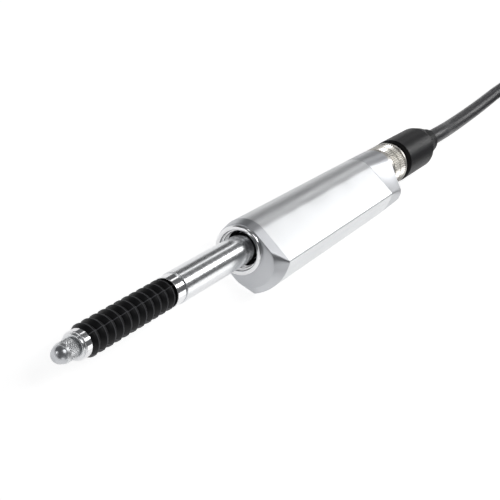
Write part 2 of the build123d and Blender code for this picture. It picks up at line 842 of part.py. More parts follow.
with BuildPart() as socket_pins:
    with BuildSketch(across(insert_face_x - pin_reach)):
        with Locations(*pin_spots()):
            Circle(pin_diameter / 2)
    extrude(amount=pin_reach + socket_front_x - insert_face_x + pin_tail)
write(socket_pins.part, "socket_pins")

# Flex lead from the circuit board to the socket's pins
flex_end_x = socket_front_x + pin_tail
flex_start_x = board_rear_x + flex_lap
flex_y = board_high_y + flex_thickness
flex_points = [
    (flex_start_x, flex_y),
    (flex_end_x + flex_bend_run, flex_y),
    (flex_end_x + flex_thickness, flex_y - flex_drop),
    (flex_end_x + flex_thickness, -pin_circle_diameter / 2),
]
with BuildPart() as flex_lead:
    with BuildSketch(Plane.XY.offset(-flex_width / 2)):
        with BuildLine() as flex_line:
            FilletPolyline(*flex_points, radius=flex_bend_radius)
        trace(line_width=flex_thickness)
    extrude(amount=flex_width)
write(flex_lead.part, "flex_lead")

# Plug: pieces are drawn along a plane's own x, with the mating end towards +x and 0 where the
# coupling nut starts, so that both ends of the cable share them
near_start = Plane(origin=(flange_rear_x - free_gap, 0, 0), x_dir=(1, 0, 0), z_dir=(0, 0, 1))


def ahead(start, x):
    """A plane square to a plug's axis, x millimetres towards its mating end."""
    place = start.origin + start.x_dir * x
    return Plane(origin=place, x_dir=start.y_dir, z_dir=start.x_dir)


def turned_on(start, profile):
    """Revolves a profile of (x, radius) points about a plug's own axis."""
    revolve(outline(profile, start), axis=Axis(start.origin, start.x_dir))


def knurled_face(plane, diameter):
    """A face with a ring of small straight knurls."""
    top = diameter / 2
    root = top - nut_knurl_depth
    step = 2 * pi / nut_knurls
    points = []
    for knurl in range(nut_knurls):
        for turn, radius in ((0, root), (0.25, top), (0.75, top)):
            angle = (knurl + turn) * step
            points.append((radius * cos(angle), radius * sin(angle)))
    return outline(points, plane)


nut_lip_x = -nut_length + nut_lip_length
plug_flange_x = nut_lip_x + 2 * nut_gap
shaft_radius = plug_shaft_diameter / 2
nut_rim_radius = nut_diameter / 2 - nut_knurl_depth


def nut_body(start, rear_x, front_x):
    """The knurled outside of a coupling nut, with a plain rim at each end."""
    knurl_x = rear_x + nut_rim_length
    knurl_face = knurled_face(ahead(start, knurl_x), nut_diameter)
    extrude(knurl_face, amount=front_x - nut_rim_length - knurl_x)
    turned_on(start, tube(rear_x, rear_x + nut_rim_length, 0, nut_diameter / 2))
    turned_on(start, tube(front_x - nut_rim_length, front_x, 0, nut_rim_radius))


with BuildPart() as coupling_nut:
    nut_body(near_start, -nut_length, 0)
    with BuildSketch(ahead(near_start, nut_lip_x)):
        Circle(socket_thread_diameter / 2 + nut_gap)
    extrude(amount=-nut_lip_x, mode=Mode.SUBTRACT)
    with BuildSketch(ahead(near_start, -nut_length)):
        Circle(shaft_radius + nut_gap)
    extrude(amount=nut_lip_length, mode=Mode.SUBTRACT)
write(coupling_nut.part, "coupling_nut")

# Plug insert: the contact carrier inside the nut, which reaches back into the grip
plug_ring_x = -nut_length - free_gap
grip_front_x = plug_ring_x - plug_ring_length
insert_tip_x = free_gap + plug_insert_reach
seal_front_x = plug_flange_x + plug_flange_length + plug_seal_length
insert_profile = [
    (insert_tip_x, 0),
    (insert_tip_x, plug_insert_diameter / 2),
    (plug_flange_x + plug_flange_length, plug_insert_diameter / 2),
    (plug_flange_x + plug_flange_length, plug_flange_diameter / 2),
    (plug_flange_x, plug_flange_diameter / 2),
    (plug_flange_x, shaft_radius),
    (grip_front_x - grip_socket_depth, shaft_radius),
    (grip_front_x - grip_socket_depth, 0),
]
with BuildPart() as plug_insert:
    turned_on(near_start, insert_profile)
    with BuildSketch(ahead(near_start, insert_tip_x)):
        with Locations(*pin_spots()):
            Circle(pin_diameter / 2 + contact_hole_gap)
    extrude(amount=-(pin_reach + contact_hole_spare), mode=Mode.SUBTRACT)
write(plug_insert.part, "plug_insert")

with BuildPart() as plug_seal:
    seal_rear_x = plug_flange_x + plug_flange_length
    seal_inner = plug_insert_diameter / 2 + press_gap
    turned_on(near_start, tube(seal_rear_x, seal_front_x, seal_inner, plug_flange_diameter / 2))
write(plug_seal.part, "plug_seal")


def make_plug_ring(start):
    """The dark ring between a coupling nut and the grip."""
    with BuildPart() as ring:
        inner = shaft_radius + press_gap
        turned_on(start, tube(grip_front_x, plug_ring_x, inner, plug_ring_diameter / 2))
    return ring.part


def make_grip(start):
    """The moulded grip: round, then tapered between scallops that deepen towards its end."""
    rear_x = grip_front_x - grip_length
    taper_x = rear_x + grip_taper_length
    with BuildPart() as grip:
        profile = [
            (grip_front_x, 0),
            (grip_front_x, grip_diameter / 2),
            (taper_x, grip_diameter / 2),
            (rear_x, grip_end_diameter / 2),
            (rear_x, 0),
        ]
        turned_on(start, profile)
        with Locations(ahead(start, rear_x).location):
            with PolarLocations(scallop_circle_diameter / 2, grip_scallops, scallop_turn):
                Cone(
                    scallop_rear_diameter / 2,
                    scallop_front_diameter / 2,
                    grip_taper_length,
                    align=(Align.CENTER, Align.CENTER, Align.MIN),
                    mode=Mode.SUBTRACT,
                )
        with BuildSketch(ahead(start, grip_front_x)):
            Circle(shaft_radius + press_gap)
        extrude(amount=-grip_socket_depth, mode=Mode.SUBTRACT)
    return grip.part


def make_relief(start):
    """The strain relief behind the grip, which narrows towards the cable."""
    front_x = grip_front_x - grip_length
    rear_x = front_x - relief_length
    with BuildPart() as relief:
        profile = [
            (front_x, 0),
            (front_x, relief_front_diameter / 2),
            (rear_x, relief_end_diameter / 2),
            (rear_x, 0),
        ]
        turned_on(start, profile)
        end_edge = relief.edges().filter_by(GeomType.CIRCLE).sort_by(SortBy.RADIUS)[0]
        fillet(end_edge, relief_edge_radius)
    return relief.part


near_plug_reach = grip_length + relief_length - grip_front_x
plug_axis_z = floor_z + grip_diameter / 2
write(make_plug_ring(near_start), "plug_ring")
write(make_grip(near_start), "plug_grip")
write(make_relief(near_start), "strain_relief")

# Cable: a free stretch from the strain relief down to the floor, a tied hank of the rest, and
# the last stretch to the far plug. The ties under the hank lift it a little off the floor.
cable_radius = cable_diameter / 2
cable_z = floor_z + cable_radius
hank_low_z = floor_z + tie_thickness + press_gap
hank_width = hank_rows * cable_diameter
hank_height = hank_layers * cable_diameter
hank_outer_radius = hank_fold_radius + hank_width - cable_radius
hank_inner_radius = hank_fold_radius - cable_radius
exit_x = near_start.origin.X - near_plug_reach
hank_front_x = exit_x - cable_reach
hank_middle_x = hank_front_x - hank_run_length / 2
entry_y = -5.0
entry_z = hank_low_z + cable_radius
hank_middle_y = entry_y + hank_outer_radius - cable_radius
leave_y = hank_middle_y + hank_outer_radius - cable_radius
leave_z = hank_low_z + hank_height - cable_radius
cable_route = [
    (exit_x, 0.0, 0.0),
    (exit_x - 16.0, 0.0, 0.0),
    (exit_x - 34.0, -0.6, -3.0),
    (exit_x - 60.0, -1.4, cable_z),
    (exit_x - 94.0, -2.6, cable_z),
    (exit_x - 128.0, -4.4, cable_z),
    (hank_front_x, entry_y, entry_z),
]
tail_route = [
    (hank_front_x, leave_y, leave_z),
    (hank_front_x + 14.0, leave_y - 0.4, leave_z),
    (hank_front_x + 30.0, far_plug_y, plug_axis_z),
    (hank_front_x + tail_reach, far_plug_y, plug_axis_z),
]


def route_radii(points):
    """The largest arc at each corner that leaves a little of both its runs straight."""
    radii = []
    for before, corner, after in zip(points, points[1:], points[2:]):
        run_in = Vector(corner) - Vector(before)
        run_out = Vector(after) - Vector(corner)
        turn = radians(run_in.get_angle(run_out))
        shorter = min(run_in.length, run_out.length)
        radii.append(0.45 * shorter / tan(turn / 2))
        print("turn", round(degrees(turn), 1), "radius", round(radii[-1], 1))
    return radii


def make_cable(points):
    """A round tube along straight runs joined by tangent arcs."""
    with BuildPart() as length:
        with BuildLine() as path:
            FilletPolyline(*points, radius=route_radii(points))
        with BuildSketch(Plane(origin=path.line @ 0, z_dir=path.line % 0)):
            Circle(cable_radius)
        sweep()
    run = sum(edge.length for edge in path.line.edges())
    share = length.part.volume / (pi * cable_radius**2 * run)
    print("length", round(run, 1), "volume share", round(share, 4))
    return length.part


write(make_cable(cable_route), "cable")
write(make_cable(tail_route), "cable_tail")

with BuildPart() as cable_hank:
    with BuildSketch(Plane.XY.offset(hank_low_z)):
        with Locations((hank_middle_x, hank_middle_y)):
            SlotCenterToCenter(hank_run_length, 2 * hank_outer_radius)
            SlotCenterToCenter(hank_run_length, 2 * hank_inner_radius, mode=Mode.SUBTRACT)
    extrude(amount=hank_height)
    fillet(cable_hank.edges().filter_by(Plane.XY), hank_corner_radius)
write(cable_hank.part, "cable_hank")

# Ties: a strap round each of the hank's two bundles
tie_inner_radius = hank_corner_radius + press_gap
bundle_y = hank_outer_radius - hank_width / 2
bundle_middles = [hank_middle_y - bundle_y, hank_middle_y + bundle_y]
with BuildPart() as cable_ties:
    with BuildSketch(across(hank_middle_x - tie_width / 2)):
        with Locations(*[(y, hank_low_z + hank_height / 2) for y in bundle_middles]):
            RectangleRounded(
                hank_width + 2 * press_gap + 2 * tie_thickness,
                hank_height + 2 * press_gap + 2 * tie_thickness,
                tie_inner_radius + tie_thickness,
            )
            RectangleRounded(
                hank_width + 2 * press_gap,
                hank_height + 2 * press_gap,
                tie_inner_radius,
                mode=Mode.SUBTRACT,
            )
    extrude(amount=tie_width)
write(cable_ties.part, "cable_ties")

# Far plug: the same ring, grip and strain relief, with pins inside a threaded coupling sleeve
far_x = tail_route[-1][0] + near_plug_reach
far_start = Plane(origin=(far_x, far_plug_y, plug_axis_z), x_dir=(1, 0, 0), z_dir=(0, 0, 1))
write(make_plug_ring(far_start), "far_plug_ring")
write(make_grip(far_start), "far_plug_grip")
write(make_relief(far_start), "far_strain_relief")

far_knurl_x = -nut_length + far_knurl_length
far_tip_x = far_knurl_x + far_thread_length
far_lip_x = -nut_length + nut_lip_length
far_head_x = far_lip_x + nut_gap
far_face_x = far_tip_x - far_insert_depth
far_head_radius = far_head_diameter / 2
far_shaft_radius = far_shaft_diameter / 2
with BuildPart() as far_coupling_sleeve:
    nut_body(far_start, -nut_length, far_knurl_x)
    turned_on(far_start, tube(far_knurl_x, far_tip_x, 0, socket_thread_diameter / 2))
    with BuildSketch(ahead(far_start, far_lip_x)):
        Circle(far_head_radius + nut_gap)
    extrude(amount=far_tip_x - far_lip_x, mode=Mode.SUBTRACT)
    with BuildSketch(ahead(far_start, -nut_length)):
        Circle(far_shaft_radius + nut_gap)
    extrude(amount=nut_lip_length, mode=Mode.SUBTRACT)
write(far_coupling_sleeve.part, "far_coupling_sleeve")

far_insert_profile = [
    (grip_front_x - grip_socket_depth, 0),
    (grip_front_x - grip_socket_depth, shaft_radius),
    (plug_ring_x, shaft_radius),
    (plug_ring_x, far_shaft_radius),
    (far_head_x, far_shaft_radius),
    (far_head_x, far_head_radius),
    (far_face_x, far_head_radius),
    (far_face_x, 0),
]
with BuildPart() as far_plug_insert:
    turned_on(far_start, far_insert_profile)
    with BuildSketch(ahead(far_start, far_face_x)):
        with Locations(*pin_spots()):
            Circle(pin_diameter / 2 + press_gap)
    extrude(amount=-pin_tail, mode=Mode.SUBTRACT)
write(far_plug_insert.part, "far_plug_insert")

with BuildPart() as far_plug_pins:
    with BuildSketch(ahead(far_start, far_face_x - pin_tail + press_gap)):
        with Locations(*pin_spots()):
            Circle(pin_diameter / 2)
    extrude(amount=far_pin_reach + pin_tail - press_gap)
write(far_plug_pins.part, "far_plug_pins")
print("all written")
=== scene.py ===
# %% [markdown]
# # A linear gauge probe, dressed for a studio picture
#
# The object is a slim measuring probe. A ball contact sits on a sprung plunger inside a rubber
# bellows, a polished shank is held in a clamp, a flat-sided aluminium housing holds an optical
# scale, and a screwed plug carries the signals away on a round cable.
# The measured solids come from CAD and stay where they are. Here the visible ones are made again
# as finer surfaces, worked out with numpy, and every piece gets a finish made of shader nodes.

# %% Load the measured model
import json
from math import acos, asin, atan2, cos, hypot, pi, radians, sin, sqrt

import bpy
import numpy as np
from mathutils import Matrix, Vector


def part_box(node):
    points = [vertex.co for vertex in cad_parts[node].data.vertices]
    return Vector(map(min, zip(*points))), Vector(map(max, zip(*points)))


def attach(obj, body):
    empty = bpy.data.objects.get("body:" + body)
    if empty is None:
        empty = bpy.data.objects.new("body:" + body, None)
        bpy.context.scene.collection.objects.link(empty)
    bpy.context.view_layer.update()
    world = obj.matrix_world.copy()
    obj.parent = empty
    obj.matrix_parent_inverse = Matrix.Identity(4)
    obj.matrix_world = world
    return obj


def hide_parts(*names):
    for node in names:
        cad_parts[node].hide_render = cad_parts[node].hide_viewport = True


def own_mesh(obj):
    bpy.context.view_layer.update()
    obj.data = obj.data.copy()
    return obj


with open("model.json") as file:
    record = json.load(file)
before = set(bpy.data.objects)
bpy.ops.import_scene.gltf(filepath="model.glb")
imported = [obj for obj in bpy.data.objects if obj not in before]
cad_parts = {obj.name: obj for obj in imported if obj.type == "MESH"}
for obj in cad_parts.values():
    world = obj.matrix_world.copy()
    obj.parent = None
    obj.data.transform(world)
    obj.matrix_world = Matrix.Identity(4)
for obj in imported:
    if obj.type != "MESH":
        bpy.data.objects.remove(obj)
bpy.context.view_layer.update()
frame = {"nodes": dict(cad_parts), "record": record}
MM = 0.001

# %% [markdown]
# ## The camera
#
# The photograph looks along the probe from in front of its contact, a little from above, so the
# near end is much larger than the far one. The camera's right and backward directions are read
# from the picture's vanishing lines. The first loses its share along the second, and up is the
# cross product of the two, so that the three make a true rotation.

# %% Camera
view_right = Vector((-0.480, 0.630, 0.6105))
view_back = Vector((0.829, 0.0995, 0.55)).normalized()
view_right = (view_right - view_right.project(view_back)).normalized()
view_up = view_back.cross(view_right)
ring_centre = Vector((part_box("front_ring")[1].x, 0, 0))
ring_in_view = Vector((-3.19, -0.26, -243.0)) * MM
sensor_width = 36.0
lens = 68.5

camera_data = bpy.data.cameras.new("photo_camera")
camera_data.sensor_width = sensor_width
camera_data.lens = lens
camera_data.clip_start = 0.01
camera_data.clip_end = 10
camera = bpy.data.objects.new("photo_camera", camera_data)
bpy.context.collection.objects.link(camera)
turn = Matrix((view_right, view_up, view_back)).transposed()
camera.matrix_world = Matrix.Translation(ring_centre - turn @ ring_in_view) @ turn.to_4x4()
bpy.context.scene.camera = camera
bpy.context.scene.view_settings.view_transform = "Standard"
print("camera stands at", [round(v, 3) for v in camera.location])

# %% [markdown]
# ## Shader maths as plain expressions
#
# A finish such as brushed metal is a small formula. A class that wraps a node's output and
# overloads minus, times and divide lets each formula read like arithmetic, while Blender
# receives ordinary Math nodes.


# %% A socket that can be reckoned with
class Wave:
    """One number that varies over a surface, as the output of a shader node."""

    def __init__(self, tree, socket):
        self.tree = tree
        self.socket = socket

    def maths(self, operation, *others):
        node = self.tree.nodes.new("ShaderNodeMath")
        node.operation = operation
        for slot, value in zip(node.inputs, (self, *others)):
            plug(self.tree, slot, value)
        return Wave(self.tree, node.outputs[0])

    def __mul__(self, other):
        return self.maths("MULTIPLY", other)

    def __sub__(self, other):
        return self.maths("SUBTRACT", other)

    def __truediv__(self, other):
        return self.maths("DIVIDE", other)


def plug(tree, slot, value):
    """Links a wave or a node's output into a socket, or sets a plain value on it."""
    if isinstance(value, Wave):
        tree.links.new(value.socket, slot)
    elif isinstance(value, bpy.types.NodeSocket):
        tree.links.new(value, slot)
    else:
        slot.default_value = value


class Finish:
    """A material whose nodes are added by name, with one shader at its end."""

    def __init__(self, name, colour, roughness, metallic=0.0, **sockets):
        self.material = bpy.data.materials.new(name)
        self.material.use_nodes = True
        self.tree = self.material.node_tree
        self.shader = self.tree.nodes["Principled BSDF"]
        self.place = self.node("ShaderNodeTexCoord").outputs["Object"]
        axes = self.node("ShaderNodeSeparateXYZ", {}, Vector=self.place)
        self.x, self.y, self.z = [Wave(self.tree, s) for s in axes.outputs]
        self.set("Base Color", (*colour, 1.0))
        self.set("Roughness", roughness)
        self.set("Metallic", metallic)
        for socket, value in sockets.items():
            self.set(socket.replace("_", " "), value)

    def node(self, kind, settings=None, **values):
        """Adds a node: its settings first, then the values or links of its sockets."""
        node = self.tree.nodes.new(kind)
        for key, value in (settings or {}).items():
            setattr(node, key, value)
        for key, value in values.items():
            plug(self.tree, node.inputs[key.replace("_", " ")], value)
        return node

    def set(self, socket, value):
        plug(self.tree, self.shader.inputs[socket], value)

    def noise(self, scale, stretch=(1, 1, 1), detail=3.0):
        """Cloudy noise, finer as scale grows, and drawn out along an axis by stretch."""
        mapped = self.node("ShaderNodeMapping", {}, Vector=self.place, Scale=stretch)
        made = self.node(
            "ShaderNodeTexNoise", {}, Vector=mapped.outputs[0], Scale=scale, Detail=detail
        )
        return Wave(self.tree, made.outputs[0])

    def ramp(self, wave, low, high, out_low=0.0, out_high=1.0):
        """Maps a wave's low to high onto another span, eased at both ends and held outside."""
        made = self.node("ShaderNodeMapRange", {"interpolation_type": "SMOOTHSTEP"})
        for slot, value in zip(made.inputs, (wave, low, high, out_low, out_high)):
            plug(self.tree, slot, value)
        return Wave(self.tree, made.outputs[0])

    def blend(self, factor, first, second):
        """A colour between two colours."""
        mix = self.node("ShaderNodeMix", {"data_type": "RGBA"})
        for key, value in ((0, factor), (6, first), (7, second)):
            if isinstance(value, tuple):
                value = (*value, 1.0)[:4]
            plug(self.tree, mix.inputs[key], value)
        return mix.outputs[2]

    def bump(self, wave, height, strength=1.0):
        """Dents and rises the surface by a wave, height metres from its 0 to its 1."""
        made = self.node("ShaderNodeBump", {}, Strength=strength, Distance=height, Height=wave)
        self.set("Normal", made.outputs[0])


# %% [markdown]
# ## Building surfaces from arrays
#
# Nearly every piece of the probe is a ring of points that changes along the measuring axis. Each
# one is worked out as a grid: the rows follow the profile and the columns go round it. A hollow
# piece's profile closes on itself, so the surface is a closed tube, and a solid piece's profile
# starts and ends on the axis, where its rows shrink to a single point.


# %% Grid surfaces and profiles
def smooth_by_angle(mesh, degrees=40):
    """Shades softly, and keeps an edge crisp where its faces turn by more than the angle."""
    mesh.polygons.foreach_set("use_smooth", np.ones(len(mesh.polygons), dtype=bool))
    mesh.set_sharp_from_angle(angle=radians(degrees))
    mesh.update()


def new_piece(name, points, faces, finish, body, replaced=(), sharp=40):
    """Puts points and faces into one mesh object, in metres, riding on a body."""
    mesh = bpy.data.meshes.new(name)
    mesh.from_pydata(points.tolist(), [], faces)
    smooth_by_angle(mesh, sharp)
    mesh.materials.append(finish)
    piece = bpy.data.objects.new(name, mesh)
    bpy.context.collection.objects.link(piece)
    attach(piece, body)
    if replaced:
        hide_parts(*replaced)
    return piece


def quads(rows, columns, loop):
    """The faces of a grid that closes round its columns, and along its rows if it loops."""
    last = rows if loop else rows - 1
    row = np.arange(last)[:, None]
    column = np.arange(columns)[None, :]
    after = (row + 1) % rows
    beside = (column + 1) % columns
    corners = [row * columns + column, row * columns + beside]
    corners += [after * columns + beside, after * columns + column]
    return np.stack([np.broadcast_to(c, (last, columns)) for c in corners], -1).reshape(-1, 4)


def surface(name, grid, finish, body, replaced=(), loop=True, sharp=40):
    """Makes a piece from a grid of shape (rows, columns, 3) in millimetres.
    Without a loop its first and last rows are closed by fans to their middles."""
    rows, columns = grid.shape[:2]
    points = grid.reshape(-1, 3)
    faces = quads(rows, columns, loop).tolist()
    if not loop:
        ends = np.array([grid[0].mean(0), grid[-1].mean(0)])
        first, last = len(points), len(points) + 1
        around = np.arange(columns)
        beside = (around + 1) % columns
        top = (rows - 1) * columns
        faces += np.stack([beside, around, np.full(columns, first)], -1).tolist()
        faces += np.stack([top + around, top + beside, np.full(columns, last)], -1).tolist()
        points = np.vstack([points, ends])
    return new_piece(name, points * MM, faces, finish, body, replaced, sharp)


def rounded(corners, steps=4, loop=False):
    """Softens a polyline of (x, y, reach) corners. Each corner becomes a parabola that starts
    and ends its reach away: (1-s)^2 * start + 2s(1-s) * corner + s^2 * end. A point just beyond
    each end of the curve keeps the straight runs flat in the shading."""
    corners = np.array(corners, float)
    count = len(corners)
    out = []
    for i, (x, y, reach) in enumerate(corners):
        here = np.array((x, y))
        if reach == 0 or (not loop and i in (0, count - 1)):
            out.append(here[None])
            continue
        before = corners[i - 1, :2] - here
        after = corners[(i + 1) % count, :2] - here
        reach = min(reach, 0.45 * np.linalg.norm(before), 0.45 * np.linalg.norm(after))
        start = here + before / np.linalg.norm(before) * reach
        end = here + after / np.linalg.norm(after) * reach
        s = np.linspace(0, 1, steps + 1)[:, None]
        curve = (1 - s) ** 2 * start + 2 * s * (1 - s) * here + s**2 * end
        hold = 0.06 * reach
        out.append(start[None] + before / np.linalg.norm(before) * hold)
        out.append(curve)
        out.append(end[None] + after / np.linalg.norm(after) * hold)
    return np.vstack(out)


def spun(profile, columns=96, centre=(0.0, 0.0)):
    """A grid from a profile of (x, radius) rows: (x, radius * cos, radius * sin) about an axis
    along X through the centre."""
    around = 2 * pi * np.arange(columns) / columns
    x = np.repeat(profile[:, :1], columns, 1)
    radius = profile[:, 1:2]
    y = centre[0] + radius * np.cos(around)
    z = centre[1] + radius * np.sin(around)
    return np.stack([x, y, z], -1)


def turned(name, corners, finish, body, replaced=(), hollow=True, centre=(0.0, 0.0), columns=96):
    """A lathe-turned piece from (x, radius, reach) corners, in anticlockwise order so that its
    faces look outwards."""
    profile = rounded(corners, loop=hollow)
    return surface(name, spun(profile, columns, centre), finish, body, replaced, loop=hollow)


def span(node):
    """A node's ends along the measuring axis and its radii about it, in millimetres."""
    low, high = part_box(node)
    return low.x / MM, high.x / MM, (high.z - low.z) / 2 / MM


slot_of = {part["node"]: part["material_slot"] for part in frame["record"]["subparts"]}
print("grid helpers ready")

# %% [markdown]
# ## The metals
#
# Metal is mostly what it mirrors. The shank is ground and lapped, so it needs very fine rings
# across a nearly clean mirror. The housing is blasted and anodised, so it is rough enough to turn
# every reflection into a soft gradient. The same grey with a different roughness reads as a
# different process, which is why each finish has its own.


# %% Metal finishes
def ground_steel():
    """Lapped steel: a mirror with faint grinding rings across its length."""
    made = Finish("ground_steel", (0.80, 0.81, 0.82), 0.24, 1.0)
    rings = made.noise(900, stretch=(1, 0.02, 0.02), detail=2)
    made.set("Roughness", made.ramp(rings, 0.3, 0.7, 0.21, 0.26))
    made.bump(rings, 0.0000004, 0.3)
    return made.material


def bright_steel():
    """Polished, plated steel with the slightest cloudiness from handling."""
    made = Finish("bright_steel", (0.86, 0.86, 0.87), 0.12, 1.0)
    cloud = made.noise(260, detail=4)
    made.set("Roughness", made.ramp(cloud, 0.35, 0.75, 0.09, 0.2))
    made.bump(cloud, 0.000003, 0.4)
    return made.material


def satin_aluminium():
    """Blasted and clear-anodised aluminium: soft grain, a little cloudier in places."""
    made = Finish("satin_aluminium", (0.80, 0.81, 0.82), 0.42, 1.0)
    grain = made.noise(5200, detail=2)
    cloud = made.noise(90, detail=3)
    made.set("Roughness", made.ramp(cloud, 0.3, 0.7, 0.38, 0.46))
    made.set("Base Color", made.blend(cloud, (0.77, 0.78, 0.79), (0.83, 0.84, 0.85)))
    made.bump(grain, 0.000006, 0.35)
    return made.material


def cap_metal():
    """The caps' darker satin metal, with the same blasted grain."""
    made = Finish("cap_metal", (0.58, 0.59, 0.61), 0.4, 1.0)
    grain = made.noise(5200, detail=2)
    cloud = made.noise(120, detail=3)
    made.set("Base Color", made.blend(cloud, (0.54, 0.55, 0.57), (0.62, 0.63, 0.65)))
    made.bump(grain, 0.000006, 0.35)
    return made.material


def nickelled_brass():
    """Nickel over brass: a warm silver whose tone and roughness vary in soft clouds."""
    made = Finish("nickelled_brass", (0.66, 0.64, 0.60), 0.38, 1.0)
    cloud = made.noise(300, detail=3)
    made.set("Base Color", made.blend(cloud, (0.58, 0.56, 0.52), (0.68, 0.66, 0.62)))
    made.set("Roughness", made.ramp(cloud, 0.3, 0.7, 0.34, 0.42))
    made.bump(cloud, 0.000004, 0.4)
    return made.material


def bearing_brass():
    """Bare machined brass with fine turning rings."""
    made = Finish("bearing_brass", (0.72, 0.52, 0.24), 0.3, 1.0)
    rings = made.noise(700, stretch=(1, 0.03, 0.03), detail=2)
    made.set("Roughness", made.ramp(rings, 0.3, 0.7, 0.24, 0.36))
    made.bump(rings, 0.000003, 0.5)
    return made.material


def gold_contacts():
    """Thin hard gold on the contact pins."""
    made = Finish("gold_contacts", (0.92, 0.68, 0.28), 0.2, 1.0)
    cloud = made.noise(500, detail=2)
    made.set("Roughness", made.ramp(cloud, 0.3, 0.7, 0.16, 0.28))
    return made.material


def spring_steel():
    """Drawn spring wire and small screws: grey with drawing lines."""
    made = Finish("spring_steel", (0.60, 0.61, 0.63), 0.3, 1.0)
    lines = made.noise(1200, stretch=(0.1, 1, 1), detail=2)
    made.set("Roughness", made.ramp(lines, 0.3, 0.7, 0.24, 0.38))
    return made.material


# %% [markdown]
# ## Rubber, plastic, glass and the rest
#
# The black pieces differ by sheen. Moulded rubber is dull with a skin of fine grain, the grips
# are hard plastic with a spark-eroded texture, and the cable's sheath is smoother and catches a
# soft line of light. Glass lets light through, and the board inside shows its green mask.


# %% Soft and clear finishes
def black_rubber():
    """Moulded rubber: near black, dull, with a faint grain."""
    made = Finish("black_rubber", (0.006, 0.006, 0.007), 0.55, 0.0, Specular_IOR_Level=0.14)
    grain = made.noise(2600, detail=3)
    made.set("Roughness", made.ramp(grain, 0.3, 0.7, 0.44, 0.6))
    made.bump(grain, 0.000012, 0.5)
    return made.material


def dark_plastic():
    """Glass-filled plastic with an eroded mould texture."""
    made = Finish("dark_plastic", (0.008, 0.008, 0.009), 0.5, 0.0, Specular_IOR_Level=0.16)
    grain = made.noise(3600, detail=4)
    cloud = made.noise(160, detail=2)
    made.set("Base Color", made.blend(cloud, (0.006, 0.006, 0.007), (0.010, 0.010, 0.012)))
    made.set("Roughness", made.ramp(grain, 0.3, 0.7, 0.38, 0.52))
    made.bump(grain, 0.000010, 0.4)
    return made.material


def ruby_black_plastic():
    """The dead black of the scanning block, where it keeps stray light down, and of the rings
    in front of the grips."""
    made = Finish("ruby_black_plastic", (0.002, 0.002, 0.002), 0.75, 0.0, Specular_IOR_Level=0.03)
    grain = made.noise(2400, detail=3)
    made.bump(grain, 0.00002, 0.5)
    return made.material


def cable_sheath():
    """Extruded sheath: dark grey and smooth, with a faint grain in its surface and its sheen."""
    made = Finish("cable_sheath", (0.022, 0.022, 0.026), 0.40, 0.0, Specular_IOR_Level=0.40)
    grain = made.noise(1500, detail=2)
    made.set("Roughness", made.ramp(grain, 0.3, 0.7, 0.34, 0.46))
    made.bump(grain, 0.000012, 0.4)
    return made.material


def optical_glass():
    """Clear glass with a breath of green."""
    made = Finish("optical_glass", (0.90, 0.97, 0.95), 0.04, 0.0, Transmission_Weight=1.0, IOR=1.5)
    cloud = made.noise(200, detail=2)
    made.set("Roughness", made.ramp(cloud, 0.4, 0.8, 0.02, 0.06))
    return made.material


def board_green():
    """Solder mask with copper tracks that just show through it."""
    made = Finish("board_green", (0.02, 0.12, 0.05), 0.3)
    tracks = made.noise(700, stretch=(0.25, 1, 1), detail=0)
    colour = made.blend(made.ramp(tracks, 0.52, 0.54), (0.015, 0.10, 0.045), (0.04, 0.20, 0.08))
    made.set("Base Color", colour)
    return made.material


def chip_black():
    """Moulded epoxy packages."""
    made = Finish("chip_black", (0.02, 0.02, 0.022), 0.5)
    grain = made.noise(4000, detail=2)
    made.bump(grain, 0.00001, 0.4)
    return made.material


def flex_amber():
    """Polyimide film over parallel copper lines."""
    made = Finish("flex_amber", (0.42, 0.18, 0.03), 0.25)
    lines = (made.z * 4400).maths("SINE")
    between = made.ramp(lines, -0.2, 0.2)
    made.set("Base Color", made.blend(between, (0.38, 0.15, 0.02), (0.6, 0.3, 0.08)))
    return made.material


# Each function is named after the record's material slot that it makes.
makers = (
    ground_steel, bright_steel, satin_aluminium, cap_metal, nickelled_brass, gold_contacts,
    black_rubber, dark_plastic, ruby_black_plastic, cable_sheath, bearing_brass, optical_glass,
    board_green, chip_black, flex_amber, spring_steel,
)
finishes = {make.__name__: make() for make in makers}
for node, item in frame["nodes"].items():
    item.data.materials.clear()
    item.data.materials.append(finishes[slot_of[node]])
print("finishes", len(finishes))

# %% [markdown]
# ## The clamping shank and the front ring
#
# The shank is the part that a stand holds, so it is round, straight and polished. A dark
# groove parts it from the bellows' clip ring. Around its foot the front ring stands a little
# proud of the housing, as a polished bead with stepped shoulders down inside its bore.

# %% Shank
shank_rear, shank_front, shank_radius = span("clamping_shank")
clip_rear, bellows_rear, clip_radius = span("bellows_rear_ring")
groove_width = 0.4
groove_radius = 3.7
groove_rear = clip_rear - groove_width
seat_radius = 3.3
inner_radius = 3.3
lip_length = 4.0
lip_radius = 2.3
tail_radius = 3.8
tail_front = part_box("front_ring")[1].x / MM
shank_corners = [
    (shank_rear, tail_radius, 0.2),
    (tail_front, tail_radius, 0),
    (tail_front, shank_radius, 0),
    (groove_rear, shank_radius, 0.12),
    (groove_rear, groove_radius, 0),
    (clip_rear, groove_radius, 0),
    (clip_rear, seat_radius, 0),
    (shank_front, seat_radius, 0),
    (shank_front, lip_radius, 0),
    (shank_front - lip_length, lip_radius, 0),
    (shank_front - lip_length, inner_radius, 0),
    (shank_rear, inner_radius, 0),
]
turned("shank_surface", shank_corners[::-1], finishes["ground_steel"], "housing",
       ["clamping_shank"], columns=160)

